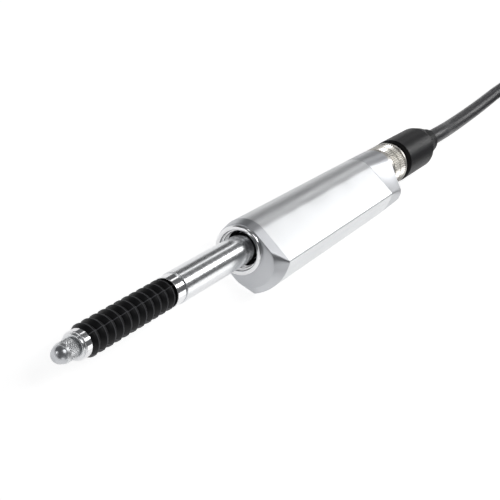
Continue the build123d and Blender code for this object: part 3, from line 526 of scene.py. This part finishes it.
# %% Front ring
ring_rear, ring_front, ring_radius = span("front_ring")
bead_height = 1.0
cap_face = ring_front - bead_height
ring_thread_radius = 5.99
mouth_radius, mouth_depth = 5.4, 1.3
shoulder_radius, shoulder_depth = 5.05, 1.9
relief_radius = 5.35
foot_radius, foot_length = 4.9, 0.6
ring_corners = [
    (ring_rear, ring_thread_radius, 0.1),
    (cap_face, ring_thread_radius, 0),
    (cap_face, ring_radius, 0.2),
    (ring_front, ring_radius, 0.75),
    (ring_front, mouth_radius, 0.6),
    (ring_front - mouth_depth, mouth_radius, 0.1),
    (ring_front - mouth_depth, shoulder_radius, 0.1),
    (ring_front - shoulder_depth, shoulder_radius, 0.1),
    (ring_front - shoulder_depth, relief_radius, 0.1),
    (ring_rear + foot_length, relief_radius, 0.1),
    (ring_rear + foot_length, foot_radius, 0.1),
    (ring_rear, foot_radius, 0.1),
]
turned("front_ring_bead", ring_corners[::-1], finishes["bright_steel"], "housing",
       ["front_ring"], columns=128)

# %% [markdown]
# ## The housing and its two caps
#
# The housing's section is round about the measuring axis, has two flats, and a shallow round
# back on its deep side. The caps bevel from that section to a smaller one. All three sections
# are drawn with the same number of points on each stretch, so that one ring can be blended into
# the next without twisting.


# %% The housing's section
def section(width, tail_width, depth, back_radius, corner):
    """Points round a section in (y, z): a round about the axis, a flank tangent to it and to
    the corner, the corner's arc, the back's arc, then the same again mirrored in z."""
    big = width / 2
    corner_z = tail_width / 2 - corner
    back_y = depth - back_radius
    corner_y = back_y + sqrt((back_radius - corner) ** 2 - corner_z**2)
    flank = atan2(corner_z, corner_y) + acos((big - corner) / hypot(corner_y, corner_z))
    lean = asin(corner_z / (back_radius - corner))

    def arc(y, z, radius, first, last, count):
        angle = np.linspace(first, last, count, endpoint=False)
        return np.stack([y + radius * np.cos(angle), z + radius * np.sin(angle)], -1)

    def run(start, end, count):
        share = np.linspace(0, 1, count, endpoint=False)[:, None]
        return (1 - share) * start + share * end

    top = np.array((big * cos(flank), big * sin(flank)))
    shoulder = np.array((corner_y + corner * cos(flank), corner_z + corner * sin(flank)))
    flip = np.array((1, -1))
    pieces = [
        arc(0, 0, big, flank, 2 * pi - flank, 96),
        run(top * flip, shoulder * flip, 12),
        arc(corner_y, -corner_z, corner, -flank, -lean, 14),
        arc(back_y, 0, back_radius, -lean, lean, 28),
        arc(corner_y, corner_z, corner, lean, flank, 14),
        run(shoulder, top, 12),
    ]
    return np.vstack(pieces)


def round_ring(radius):
    """A circle about the axis, with its points in the housing section's own directions."""
    outer = section(*body_sizes)
    angle = np.arctan2(outer[:, 1], outer[:, 0])
    return radius * np.stack([np.cos(angle), np.sin(angle)], -1)


# Each section's width, width at its back, depth from the axis, back radius and corner radius. The
# pocket leaves a wall of 1.5, and the caps' spigots fit it with 0.03 of play all round.
body_sizes = (15.0, 15.0, 12.8, 14.0, 0.8)
pocket_sizes = (12.0, 12.0, 11.3, 12.5, 1.0)
spigot_sizes = (11.94, 11.94, 11.27, 12.47, 1.0)
front_sizes = (13.8, 13.8, 10.9, 7.2, 5.5)
rear_sizes = (14.8, 8.4, 12.4, 5.0, 3.4)
body_ring = section(*body_sizes)


def stacked(rows):
    """A grid from (x, ring) pairs."""
    return np.stack([np.column_stack([np.full(len(ring), x), ring]) for x, ring in rows])


def blended(profile, first, second):
    """Rows (x, first + share * (second - first)) for a profile of (x, share)."""
    return [(x, first + share * (second - first)) for x, share in profile]


def bevelled(start, reach, end, softness, inner_ring, outer_ring):
    """A cap's rows from the body's section at start, down a bevel to the outer ring at end, then
    over a flat face to the inner ring. Share 0 to 1 is the bevel, and 1 to 2 is the face."""
    path = rounded([(start, 0, 0), (start + reach, 0, 0.1), (end, 1, softness), (end, 2, 0)])
    slope = blended([(x, share) for x, share in path if share <= 1], body_ring, outer_ring)
    face = blended([(x, share - 1) for x, share in path if 1 < share < 2], outer_ring, inner_ring)
    return slope + face


# %% Housing tube
body_rear, body_front, _ = span("housing")
edge = 0.12
outside = rounded([
    (body_rear, 1, 0), (body_rear, 0, edge), (body_front, 0, edge), (body_front, 1, 0),
])
wall = blended([(x, min(share, 1)) for x, share in outside], body_ring, section(*pocket_sizes))
surface("housing_tube", stacked(wall), finishes["satin_aluminium"], "housing", ["housing"])

# %% Front cap
cap_rear, _, _ = span("front_cap")
bore_play = 0.01
counterbore_depth = 5.0
bore_ring = round_ring(tail_radius + bore_play)
counterbore_ring = round_ring(ring_thread_radius + bore_play)
spigot_ring = section(*spigot_sizes)
front_face_ring = section(*front_sizes)
cap_rows = [(cap_rear, bore_ring), (cap_rear, spigot_ring), (body_front, spigot_ring)]
cap_rows += bevelled(body_front, 0.1, cap_face, 0.25, counterbore_ring, front_face_ring)
cap_rows += [(cap_face, counterbore_ring * 1.03), (cap_face, counterbore_ring)]
cap_rows += [(cap_face - counterbore_depth, ring) for ring in (counterbore_ring, bore_ring)]
surface("front_cap_body", stacked(cap_rows), finishes["cap_metal"], "housing",
        ["front_cap"], sharp=18)

# %% Rear cap
rear_face, _, _ = span("rear_cap")
rear_ring = section(*rear_sizes)
socket_ring = round_ring(5.5)
spigot_front = body_rear + 3.0
tail_rows = [(spigot_front, socket_ring), (spigot_front, spigot_ring), (body_rear, spigot_ring)]
tail_rows += bevelled(body_rear, -0.1, rear_face, 0.35, socket_ring, rear_ring)
tail_rows += [(rear_face, socket_ring)]
surface("rear_cap_body", stacked(tail_rows)[::-1], finishes["cap_metal"], "housing",
        ["rear_cap"], sharp=18)
print("housing and caps made")

# %% [markdown]
# ## The bellows
#
# The bellows keeps dirt out of the guide and folds up as the plunger goes in. Its folds are
# long waves with a thin raised lip on each crest, and four mould lines run along it. Both show
# as fine grey lines on black rubber, so the finish is painted paler along them. On the crests
# the pale line is a painted highlight, the light that the crests catch.


# %% Bellows material
def bellows_rubber(fold_pitch, first_x):
    """Black rubber with a painted highlight on the crest lines, and paler along the four mould
    lines.
    """
    made = Finish("bellows_rubber", (0.006, 0.006, 0.007), 0.46, 0.0, Specular_IOR_Level=0.28)
    grain = made.noise(2600, detail=3)
    crest = (((made.x - first_x * MM) / (fold_pitch * MM)).maths("FRACT") - 0.5).maths("ABSOLUTE")
    # Painted highlight: the crest lines are painted pale where the crests catch the light.
    crest_highlight = made.ramp(crest, 0.025, 0.06, 1.0, 0.0)
    seam = ((made.y * made.y).maths("SQRT")).maths("MINIMUM", (made.z * made.z).maths("SQRT"))
    on_seam = made.ramp(seam, 0.00006, 0.00014, 1.0, 0.0)
    line = crest_highlight.maths("MAXIMUM", on_seam * 0.8)
    # The pale grey is painted: a painted highlight on the crests, and paler along the mould lines.
    made.set("Base Color", made.blend(line, (0.004, 0.004, 0.005), (0.12, 0.12, 0.13)))
    made.set("Roughness", made.ramp(grain, 0.3, 0.7, 0.40, 0.56))
    made.bump(grain, 0.00001, 0.4)
    return made.material


# %% Bellows
cuff_rear, cuff_front, _ = span("bellows")
clip_front_rear, clip_front_end, front_clip_radius = span("bellows_front_ring")
fold_count = 11
rows_per_fold = 26
fold_pitch = (clip_front_rear - bellows_rear) / fold_count
ridge_radius = 3.75
valley_radius = 2.95
wall_thickness = 0.45
lip_height = 0.12
lip_share = 0.035
seam_rise = 0.015
seam_angle = 0.05
rear_cuff_bore, rear_cuff_radius = 3.31, 3.52
front_cuff_bore, front_cuff_radius = 2.51, 2.72
clip_play = 0.02
joints = {joint["name"]: joint for joint in frame["record"]["behaviour"]["joints"]}
plunger_travel = joints["plunger_slide"]["range_m"][1] / MM


def bellows_radius(x):
    """The outside radius: valley + depth * (1 - |2f - 1|^1.6) for the share f of one fold, with
    a narrow lip, exp(-(distance / width)^2), standing on each crest."""
    share = ((x - bellows_rear) / fold_pitch) % 1.0
    off_crest = np.abs(share - 0.5)
    wave = 1 - (2 * off_crest) ** 1.6
    depth = ridge_radius - lip_height - valley_radius
    return valley_radius + depth * wave + lip_height * np.exp(-((off_crest / lip_share) ** 2))


def bellows_grid():
    """Outside and inside rows of the folds, with the rear cuff, raised along the mould lines.
    The front cuff is a piece of its own, so that it rides the plunger."""
    x = np.linspace(bellows_rear, clip_front_rear, fold_count * rows_per_fold + 1)
    outside = np.column_stack([x, bellows_radius(x)])
    inside = np.column_stack([x[::-1], bellows_radius(x[::-1]) - wall_thickness])
    rear_cuff = [
        (bellows_rear, rear_cuff_bore), (cuff_rear, rear_cuff_bore),
        (cuff_rear, rear_cuff_radius), (bellows_rear, rear_cuff_radius),
    ]
    grid = spun(np.vstack([outside, inside[:-1], rear_cuff]), 144)[:, ::-1]
    angle = np.arctan2(grid[..., 2], grid[..., 1])
    near_seam = np.abs((angle + pi / 4) % (pi / 2) - pi / 4)
    rise = 1 + seam_rise * np.exp(-((near_seam / seam_angle) ** 2))
    grid[..., 1:] *= rise[..., None]
    return grid


bellows = surface("bellows_rubber_sleeve", bellows_grid(),
                  bellows_rubber(fold_pitch, bellows_rear), "housing", ["bellows"], sharp=70)
bellows_keep = 1 - plunger_travel / (clip_front_rear - bellows_rear)
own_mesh(bellows)
front_cuff = [
    (clip_front_rear, front_cuff_radius, 0),
    (cuff_front, front_cuff_radius, 0.05),
    (cuff_front, front_cuff_bore, 0),
    (clip_front_rear, front_cuff_bore, 0),
]
turned("bellows_front_cuff", front_cuff[::-1], finishes["black_rubber"], "plunger")

# %% Clip rings
rear_clip = [
    (clip_rear, clip_radius, 0.12),
    (bellows_rear, clip_radius, 0.25),
    (bellows_rear, rear_cuff_radius + clip_play, 0.05),
    (clip_rear, rear_cuff_radius + clip_play, 0.05),
]
turned("rear_clip_ring", rear_clip[::-1], finishes["bright_steel"], "housing",
       ["bellows_rear_ring"])
front_clip = [
    (clip_front_rear, front_clip_radius, 0.25),
    (clip_front_end, front_clip_radius, 0.3),
    (clip_front_end, front_cuff_radius + clip_play, 0.05),
    (clip_front_rear, front_cuff_radius + clip_play, 0.05),
]
turned("front_clip_ring", front_clip[::-1], finishes["bright_steel"], "plunger",
       ["bellows_front_ring"])
print("bellows made,", fold_count, "folds of", round(fold_pitch, 2), "mm")

# %% [markdown]
# ## The plunger and its contact
#
# The contact screws into the plunger by hand, so its holder has a diamond knurl. A knurl is two
# sets of crossing helical grooves: the radius drops with the larger of two triangle waves, one
# climbing and one falling round the holder.

# %% Plunger
rod_rear, rod_front, rod_flange = span("plunger")
rod_radius = 2.0
cuff_seat_radius = 2.5
screw_hole_radius, screw_hole_depth, drill_point = 1.25, 4.0, 1.0
rod_corners = [
    (rod_rear, 0, 0),
    (rod_rear, rod_radius, 0.2),
    (clip_front_rear, rod_radius, 0),
    (clip_front_rear, cuff_seat_radius, 0.05),
    (clip_front_end, cuff_seat_radius, 0),
    (clip_front_end, rod_flange, 0.15),
    (rod_front, rod_flange, 0.25),
    (rod_front, screw_hole_radius, 0),
    (rod_front - screw_hole_depth, screw_hole_radius, 0),
    (rod_front - screw_hole_depth - drill_point, 0, 0),
]
turned("plunger_rod", rod_corners[::-1], finishes["ground_steel"], "plunger", ["plunger"],
       hollow=False)


# %% Contact holder
holder_rear, holder_front, _ = span("contact_holder")
holder_screw_radius = 1.24
holder_neck_radius = 1.7
holder_end_radius = 2.1
knurl_radius = 2.25
knurl_rear = rod_front + 0.35
knurl_front = knurl_rear + 2.7
knurl_rows = 40
knurl_teeth = 24
knurl_pitch = 0.75
knurl_depth = 0.18


def triangle(value):
    """A wave of straight sides between 0 and 1 with a period of 1."""
    return np.abs((value % 1.0) * 2 - 1)


def holder_grid():
    """The holder's rows, with the knurl cut where the window is open: radius minus depth times
    the larger of two triangle waves that climb and fall along x."""
    corners = [
        (holder_rear, 0, 0),
        (holder_rear, holder_screw_radius, 0.15),
        (rod_front, holder_screw_radius, 0),
        (rod_front, holder_neck_radius, 0),
        (knurl_rear, holder_neck_radius, 0),
        (knurl_rear, knurl_radius, 0.15),
        (knurl_front, knurl_radius, 0.1),
        (holder_front, holder_end_radius, 0.08),
        (holder_front, 0, 0),
    ]
    outline = rounded(corners)
    dense = np.linspace(knurl_rear + 0.16, knurl_front - 0.1, knurl_rows)
    before = outline[outline[:, 0] <= knurl_rear + 0.155]
    after = outline[outline[:, 0] >= knurl_front - 0.105]
    band = np.column_stack([dense, np.full(knurl_rows, knurl_radius)])
    grid = spun(np.vstack([before, band, after]), 240)
    around = knurl_teeth * (np.arctan2(grid[..., 2], grid[..., 1]) / (2 * pi))
    along = (grid[..., 0] - knurl_rear) / knurl_pitch
    cut = np.maximum(triangle(around + along), triangle(around - along))
    open_window = (grid[..., 0] > knurl_rear + 0.15) & (grid[..., 0] < knurl_front - 0.09)
    scale = 1 - np.where(open_window, cut**1.5 * knurl_depth / knurl_radius, 0)
    grid[..., 1:] *= scale[..., None]
    return grid


# The cut teeth scatter light, so the steel holder takes the blasted finish, which is pale too.
surface("contact_holder_knurl", holder_grid()[:, ::-1], finishes["satin_aluminium"], "plunger",
        ["contact_holder"], loop=False, sharp=28)

# %% Contact ball
# Drawn steel's grey keeps the ball's edge apart from the white behind it.
ball_low, ball_high, ball_radius = span("contact_ball")
ball_middle = (ball_low + ball_high) / 2
polar = np.linspace(0, pi, 49)[1:-1]
ball_profile = np.column_stack([
    ball_middle - ball_radius * np.cos(polar), ball_radius * np.sin(polar),
])
surface("contact_ball_surface", spun(ball_profile, 96)[:, ::-1], finishes["spring_steel"],
        "plunger", ["contact_ball"], loop=False, sharp=60)
print("plunger and contact made")

# %% [markdown]
# ## The return spring
#
# Inside the shank a fine spring pushes the plunger out, and is pressed together as the plunger
# goes in. Here it is a circle carried along a helix.


# %% Spring
def coil_spring(rear, front, radius, wire, turns):
    """A wire along the helix (x, radius * cos, radius * sin): across the wire, one direction is
    the helix's outward normal and the other is square to it and to the path."""
    t = np.linspace(0, 1, turns * 32 + 1)
    phase = 2 * pi * turns * t
    outward = np.stack([np.zeros_like(t), np.cos(phase), np.sin(phase)], -1)
    along = np.stack([np.full_like(t, (front - rear) / (2 * pi * turns)), -radius * np.sin(phase),
                      radius * np.cos(phase)], -1)
    along /= np.linalg.norm(along, axis=1, keepdims=True)
    sideways = np.cross(along, outward)
    middle = outward * radius + np.stack([rear + (front - rear) * t, 0 * t, 0 * t], -1)
    around = (2 * pi * np.arange(10) / 10)[None, :, None]
    ring = np.cos(around) * outward[:, None] + np.sin(around) * sideways[:, None]
    return middle[:, None] + wire / 2 * ring


spring_rear, spring_front, spring_radius = span("return_spring")
wire = 0.5
spring_turns = 8
spring_grid = coil_spring(spring_rear + wire / 2, spring_front - wire / 2,
                          spring_radius - wire / 2, wire, spring_turns)
spring = surface("return_spring_wire", spring_grid[:, ::-1], finishes["spring_steel"], "housing",
                 ["return_spring"], loop=False, sharp=60)
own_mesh(spring)

# %% [markdown]
# ## The plugs
#
# The cable's near plug has a knurled nut, a dark ring, and a moulded grip whose rear end is
# scooped out between five ribs. The far plug is the same moulding with a threaded sleeve. Both
# are made by the same functions, about their own axes.


# %% Plug pieces
cable_radius = 3.0
plug_bore = 5.01
relief_end_radius = 4.6
grip_taper = 6.2
grip_end_radius = 6.3
grip_socket_depth = 4.0
scoop_count = 5
scoop_turn = 170.0
scoop_distance = 10.5
scoop_radii = (5.2, 3.7)
# A point further out than this lies on the outside of a nut, and not in its bore.
nut_outer_from = 6.9


def nut_grid(corners, teeth, depth, low, high, centre, columns):
    """A turned piece with straight knurls: radius minus depth times a triangle wave round it,
    where x lies inside the knurled band and the surface is the outer one."""
    grid = spun(rounded(corners, loop=True), columns, centre)
    x, y, z = grid[..., 0], grid[..., 1] - centre[0], grid[..., 2] - centre[1]
    radius = np.hypot(y, z)
    share = np.arctan2(z, y) / (2 * pi)
    band = (x > low) & (x < high) & (radius > nut_outer_from)
    scale = 1 - np.where(band, depth * triangle(teeth * share) / np.maximum(radius, 1), 0)
    grid[..., 1] = centre[0] + y * scale
    grid[..., 2] = centre[1] + z * scale
    return grid


def knurled_rows(low, high, radius, count=3):
    """Straight rows across a knurled band, just inside both of its ends."""
    return [(x, radius, 0) for x in np.linspace(low, high, count)]


def grip_grid(front, rear, radius, end_radius, centre, socket):
    """The grip's rows: round, then tapering between its scoops. A scoop is the part of a cone of
    radius c about a line at distance d from the axis, so the radius there is the nearer root of
    r^2 - 2 * d * r * cos(a) + d^2 - c^2 = 0, and c grows towards the grip's end."""
    taper = rear + grip_taper
    floor = front - grip_socket_depth
    outline = rounded([
        (floor, 0, 0), (floor, socket, 0), (front, socket, 0), (front, radius, 0.3),
        (taper, radius, 0.4), (rear, end_radius, 0.5), (rear, 0, 0),
    ])
    body = outline[outline[:, 1] > 0.01]
    step = np.linspace(taper - 0.02, rear + 0.6, 20)
    fine = np.column_stack([step, np.interp(-step, [-taper, -rear], [radius, end_radius])])
    before = body[body[:, 0] > taper - 0.01]
    after = body[body[:, 0] < rear + 0.59]
    grid = spun(np.vstack([before, fine, after]), 240, centre)
    y, z = grid[..., 1] - centre[0], grid[..., 2] - centre[1]
    own = np.hypot(y, z)
    sector = 2 * pi / scoop_count
    off = np.arctan2(z, y) - radians(scoop_turn)
    off = (off + sector / 2) % sector - sector / 2
    cone = np.interp(grid[..., 0], [rear, taper], scoop_radii)
    inside = cone**2 - (scoop_distance * np.sin(off)) ** 2
    scoop = scoop_distance * np.cos(off) - np.sqrt(np.maximum(inside, 0))
    behind = grid[..., 0] < taper
    limit = np.where(behind & (inside > 0), scoop, 99)
    scale = np.minimum(1, limit / np.maximum(own, 0.01))
    grid[..., 1] = centre[0] + y * scale
    grid[..., 2] = centre[1] + z * scale
    return grid


def plug_rear(prefix, centre, ring, grip, relief, body="housing"):
    """The dark ring, the grip and the strain relief of one plug."""
    low, high, radius = span(ring)
    corners = [
        (low, radius, 0.1), (high, radius, 0.5), (high, plug_bore, 0.1), (low, plug_bore, 0),
    ]
    turned(prefix + "_dark_ring", corners[::-1], finishes["ruby_black_plastic"], body, [ring],
           centre=centre)
    low, high, radius = span(grip)
    grid = grip_grid(high, low, radius, grip_end_radius, centre, plug_bore)
    surface(prefix + "_grip_moulding", grid, finishes["dark_plastic"], body, [grip],
            loop=False, sharp=30)
    low, high, radius = span(relief)
    corners = [
        (high, 0, 0), (high, radius, 0.2), (low, relief_end_radius, 1.4),
        (low, cable_radius, 0), (low, 0, 0),
    ]
    turned(prefix + "_strain_relief_sleeve", corners, finishes["black_rubber"], body,
           [relief], hollow=False, centre=centre)


plug_rear("near", (0.0, 0.0), "plug_ring", "plug_grip", "strain_relief")
far_low, far_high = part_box("far_plug_ring")
far_centre = ((far_low.y + far_high.y) / 2 / MM, (far_low.z + far_high.z) / 2 / MM)
plug_rear("far", far_centre, "far_plug_ring", "far_plug_grip", "far_strain_relief")

# %% Nuts
nut_rear, nut_front, nut_radius = span("coupling_nut")
nut_teeth = 60
nut_columns = 480
rim_width = 1.1
collar_length = 2.6
nut_hole_radius = 5.1
nut_thread_radius = 6.05
nut_knurl_depth = 0.36
nut_groove_depth = 0.25
knurl_low, knurl_high = nut_rear + rim_width, nut_front - rim_width
groove_x = (knurl_low + knurl_high) / 2
nut_corners = [
    (nut_rear, nut_hole_radius, 0.05),
    (nut_rear, nut_radius, 0.25),
    (knurl_low - 0.05, nut_radius, 0.1),
    *knurled_rows(knurl_low, groove_x - 0.35, nut_radius),
    (groove_x - 0.3, nut_radius - nut_groove_depth, 0),
    (groove_x + 0.3, nut_radius - nut_groove_depth, 0),
    *knurled_rows(groove_x + 0.35, knurl_high, nut_radius),
    (knurl_high + 0.05, nut_radius - 0.3, 0.05),
    (nut_front, nut_radius - 0.4, 0.3),
    (nut_front, nut_thread_radius, 0.2),
    (nut_rear + collar_length, nut_thread_radius, 0),
    (nut_rear + collar_length, nut_hole_radius, 0),
]
nut = nut_grid(nut_corners, nut_teeth, nut_knurl_depth, knurl_low - 0.01, knurl_high + 0.01,
               (0.0, 0.0), nut_columns)
surface("coupling_nut_knurl", nut, finishes["nickelled_brass"], "coupling_nut",
        ["coupling_nut"], sharp=25)

sleeve_rear, sleeve_front, sleeve_radius = span("far_coupling_sleeve")
band_front = sleeve_rear + 7.0
sleeve_hole_radius = 4.3
sleeve_bore_radius = 5.0
sleeve_knurl_depth = 0.28
thread_root, thread_crest, thread_pitch = 5.45, 5.95, 1.0
thread_turns = np.arange(band_front + 0.5, sleeve_front - 0.6, thread_pitch / 2)
thread = [(x, thread_crest if i % 2 else thread_root, 0.05) for i, x in enumerate(thread_turns)]
sleeve_corners = [
    (sleeve_rear, sleeve_hole_radius, 0.05),
    (sleeve_rear, sleeve_radius, 0.25),
    (sleeve_rear + 1.05, sleeve_radius, 0.1),
    *knurled_rows(sleeve_rear + rim_width, band_front - rim_width, sleeve_radius),
    (band_front - 1.0, sleeve_radius - 0.3, 0.05),
    (band_front, sleeve_radius - 0.35, 0.2),
    (band_front, thread_root, 0),
    *thread,
    (sleeve_front, 5.6, 0.3),
    (sleeve_front, sleeve_bore_radius, 0.2),
    (sleeve_rear + collar_length, sleeve_bore_radius, 0),
    (sleeve_rear + collar_length, sleeve_hole_radius, 0),
]
sleeve = nut_grid(sleeve_corners, nut_teeth, sleeve_knurl_depth, sleeve_rear + 1.09,
                  band_front - 1.09, far_centre, nut_columns)
surface("far_coupling_sleeve_knurl", sleeve, finishes["nickelled_brass"], "far_sleeve",
        ["far_coupling_sleeve"], sharp=25)
print("plugs made")

# %% [markdown]
# ## The cable
#
# The photograph shows the first hand's width of the cable. The rest is put away as a hank on the
# bench, just outside the picture, in line with the probe and held by two ties. One smooth curve
# runs from the strain relief down to the bench and round the hank: its lower layer from outside
# in, its upper layer from inside out. It ends at the far plug, which lies across the hank's end.

# %% Cable route
exit_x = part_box("strain_relief")[0].x / MM
floor_z = -7.5
cable_z = floor_z + cable_radius
hank_low, hank_high = [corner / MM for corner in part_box("cable_hank")]
outer_fold, inner_fold = 24.0, 18.0
fold_reach = outer_fold + cable_radius
front_fold_x = hank_high.x - fold_reach
rear_fold_x = hank_low.x + fold_reach
hank_y = (hank_low.y + hank_high.y) / 2
entry_y, leave_y = hank_y - outer_fold, hank_y + outer_fold
lower_z, upper_z = hank_low.z + cable_radius, hank_high.z - cable_radius
fold_points = 12
run_shares = (0.17, 0.5, 0.83)


def hank_column(turns):
    """The fold's radius: it steps in near the end of turn 0 and out again within turn 2."""
    steps = (outer_fold, inner_fold, inner_fold, outer_fold)
    return np.interp(turns, (0.80, 0.98, 2.55, 2.65), steps)


def hank_layer(turns):
    """The cable's height: it climbs from the lower layer to the upper within turn 1."""
    return np.interp(turns, (1.65, 1.80), (lower_z, upper_z))


def hank_half(first_turn, y_side, heading):
    """Half a turn: a straight run on one side, then the fold at its end. The fold's points lie
    a little outside its arc, because the curve passes inside its points."""
    half = []
    start_x, end_x = (front_fold_x, rear_fold_x) if heading < 0 else (rear_fold_x, front_fold_x)
    run_turn, fold_turn = (0.15, 0.20) if heading < 0 else (0.15, 0.50)
    for share in run_shares:
        turns = first_turn + run_turn * share
        y = hank_y + y_side * hank_column(turns)
        half.append((start_x + (end_x - start_x) * share, y, hank_layer(turns)))
    for step in range(fold_points):
        share = (step + 0.5) / fold_points
        turns = first_turn + run_turn + fold_turn * share
        radius = hank_column(turns) / cos(pi / fold_points / 2)
        x = end_x + heading * radius * sin(pi * share)
        y = hank_y + y_side * radius * cos(pi * share)
        half.append((x, y, hank_layer(turns)))
    return half


route = [
    (exit_x, 0.0, 0.0),
    (exit_x - 16.0, 0.0, 0.0),
    (exit_x - 34.0, -0.6, -3.0),
    (exit_x - 60.0, -1.4, cable_z),
    (exit_x - 94.0, -2.6, cable_z),
    (exit_x - 128.0, -4.4, cable_z),
    (front_fold_x, entry_y, lower_z),
]
for turn_number in range(3):
    route += hank_half(turn_number, -1, -1)
    route += hank_half(turn_number + 0.35, 1, 1)
route += hank_half(3, -1, -1)
route += [
    (front_fold_x - 50.0, leave_y, upper_z),
    (front_fold_x, leave_y, upper_z),
    (front_fold_x + 14.0, leave_y - 0.4, upper_z),
    (front_fold_x + 30.0, far_centre[0], 0.0),
    (front_fold_x + 44.0, far_centre[0], 0.0),
]
route = np.array(route)
print("route length", round(sum(np.linalg.norm(np.diff(route, axis=0), axis=1)) * MM, 3))

# %% Cable curve
cable_data = bpy.data.curves.new("cable_line", "CURVE")
cable_data.dimensions = "3D"
line = cable_data.splines.new("NURBS")
line.points.add(len(route) - 1)
line.points.foreach_set("co", np.column_stack([route * MM, np.ones(len(route))]).ravel())
line.order_u = 3
line.use_endpoint_u = True
line.resolution_u = 8
cable_data.bevel_depth = cable_radius * MM
cable_data.bevel_resolution = 6
cable_data.use_fill_caps = True
cable_data.materials.append(finishes["cable_sheath"])
cable = bpy.data.objects.new("cable_line", cable_data)
bpy.context.collection.objects.link(cable)
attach(cable, "housing")
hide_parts("cable", "cable_hank", "cable_tail")
print("cable route has", len(route), "points")

# %% [markdown]
# ## Bench, light and backdrop
#
# The picture is a product shot on white. The bench and the backdrop are white to the camera, and
# the world that lights the metal is dim. All faces that run along the probe mirror what lies
# behind it, so four soft lamps stand there at different angles about the axis. Each draws a bright
# band along the shank, and the gaps between them leave the dark ones. Two more light the ends.


# %% Bench
bench_half = 3.0
bench_glow_in_mirrors = 0.52
bench_glow_in_camera = 0.86


def bench_finish():
    """White to the camera, with the shadow that the lamps leave kept as a soft grey."""
    made = Finish("bench_white", (0.86, 0.86, 0.86), 0.6)
    made.set("Emission Color", (1, 1, 1, 1))
    made.set("Emission Strength", bench_glow_in_mirrors)
    tree = made.tree
    ray = made.node("ShaderNodeLightPath")
    glow = made.node("ShaderNodeEmission", {}, Color=(1, 1, 1, 1), Strength=bench_glow_in_camera)
    dim = made.node("ShaderNodeBsdfDiffuse", {}, Color=(0.4, 0.4, 0.4, 1))
    both = tree.nodes.new("ShaderNodeAddShader")
    tree.links.new(glow.outputs[0], both.inputs[0])
    tree.links.new(dim.outputs[0], both.inputs[1])
    mix = tree.nodes.new("ShaderNodeMixShader")
    tree.links.new(ray.outputs["Is Camera Ray"], mix.inputs[0])
    tree.links.new(made.shader.outputs[0], mix.inputs[1])
    tree.links.new(both.outputs[0], mix.inputs[2])
    tree.links.new(mix.outputs[0], tree.nodes["Material Output"].inputs[0])
    return made.material


bench_mesh = bpy.data.meshes.new("bench")
bench_z = floor_z * MM - 0.0001
bench_corners = [
    (x * bench_half, y * bench_half, bench_z) for x, y in ((-1, -1), (1, -1), (1, 1), (-1, 1))
]
bench_mesh.from_pydata(bench_corners, [], [(0, 1, 2, 3)])
bench_mesh.materials.append(bench_finish())
bench = bpy.data.objects.new("bench", bench_mesh)
bpy.context.collection.objects.link(bench)

# %% World
world_strength = 0.12
world = bpy.data.worlds.new("studio")
bpy.context.scene.world = world
world.use_nodes = True
sky = world.node_tree
background = sky.nodes["Background"]
ray = sky.nodes.new("ShaderNodeLightPath")
white = sky.nodes.new("ShaderNodeBackground")
white.inputs[0].default_value = (1, 1, 1, 1)
white.inputs[1].default_value = 1.0
background.inputs[0].default_value = (0.95, 0.97, 1.0, 1)
background.inputs[1].default_value = world_strength
chooser = sky.nodes.new("ShaderNodeMixShader")
sky.links.new(ray.outputs["Is Camera Ray"], chooser.inputs[0])
sky.links.new(background.outputs[0], chooser.inputs[1])
sky.links.new(white.outputs[0], chooser.inputs[2])
sky.links.new(chooser.outputs[0], sky.nodes["World Output"].inputs[0])


# %% Lamps
def soft_lamp(name, place, aim, width, length, watts):
    """A rectangular soft lamp, its long side along X, turned towards a point."""
    data = bpy.data.lights.new(name, "AREA")
    data.shape = "RECTANGLE"
    data.size = length
    data.size_y = width
    data.energy = watts
    lamp = bpy.data.objects.new(name, data)
    bpy.context.collection.objects.link(lamp)
    back = (Vector(place) - Vector(aim)).normalized()
    side = Vector((1, 0, 0))
    side = (side - side.project(back)).normalized()
    turned_to = Matrix((side, back.cross(side), back)).transposed()
    lamp.matrix_world = Matrix.Translation(place) @ turned_to.to_4x4()


soft_lamp("behind", (-0.80, 0.10, 0.52), (-0.05, 0, 0), 0.20, 0.60, 2.0)
soft_lamp("overhead", (-0.30, 0.05, 0.85), (-0.05, 0, 0), 0.50, 0.60, 1.7)
soft_lamp("left_side", (-0.77, -0.36, 0.36), (-0.05, 0, 0), 0.11, 0.50, 0.26)
soft_lamp("right_side", (-0.70, 0.66, 0.16), (-0.05, 0, 0), 0.34, 0.45, 0.66)
soft_lamp("low_right", (0.30, 0.80, 0.18), (0, 0, 0), 0.30, 0.60, 0.60)
soft_lamp("front_left", (0.70, -0.45, 0.30), (0.05, 0, 0), 0.25, 0.35, 0.55)
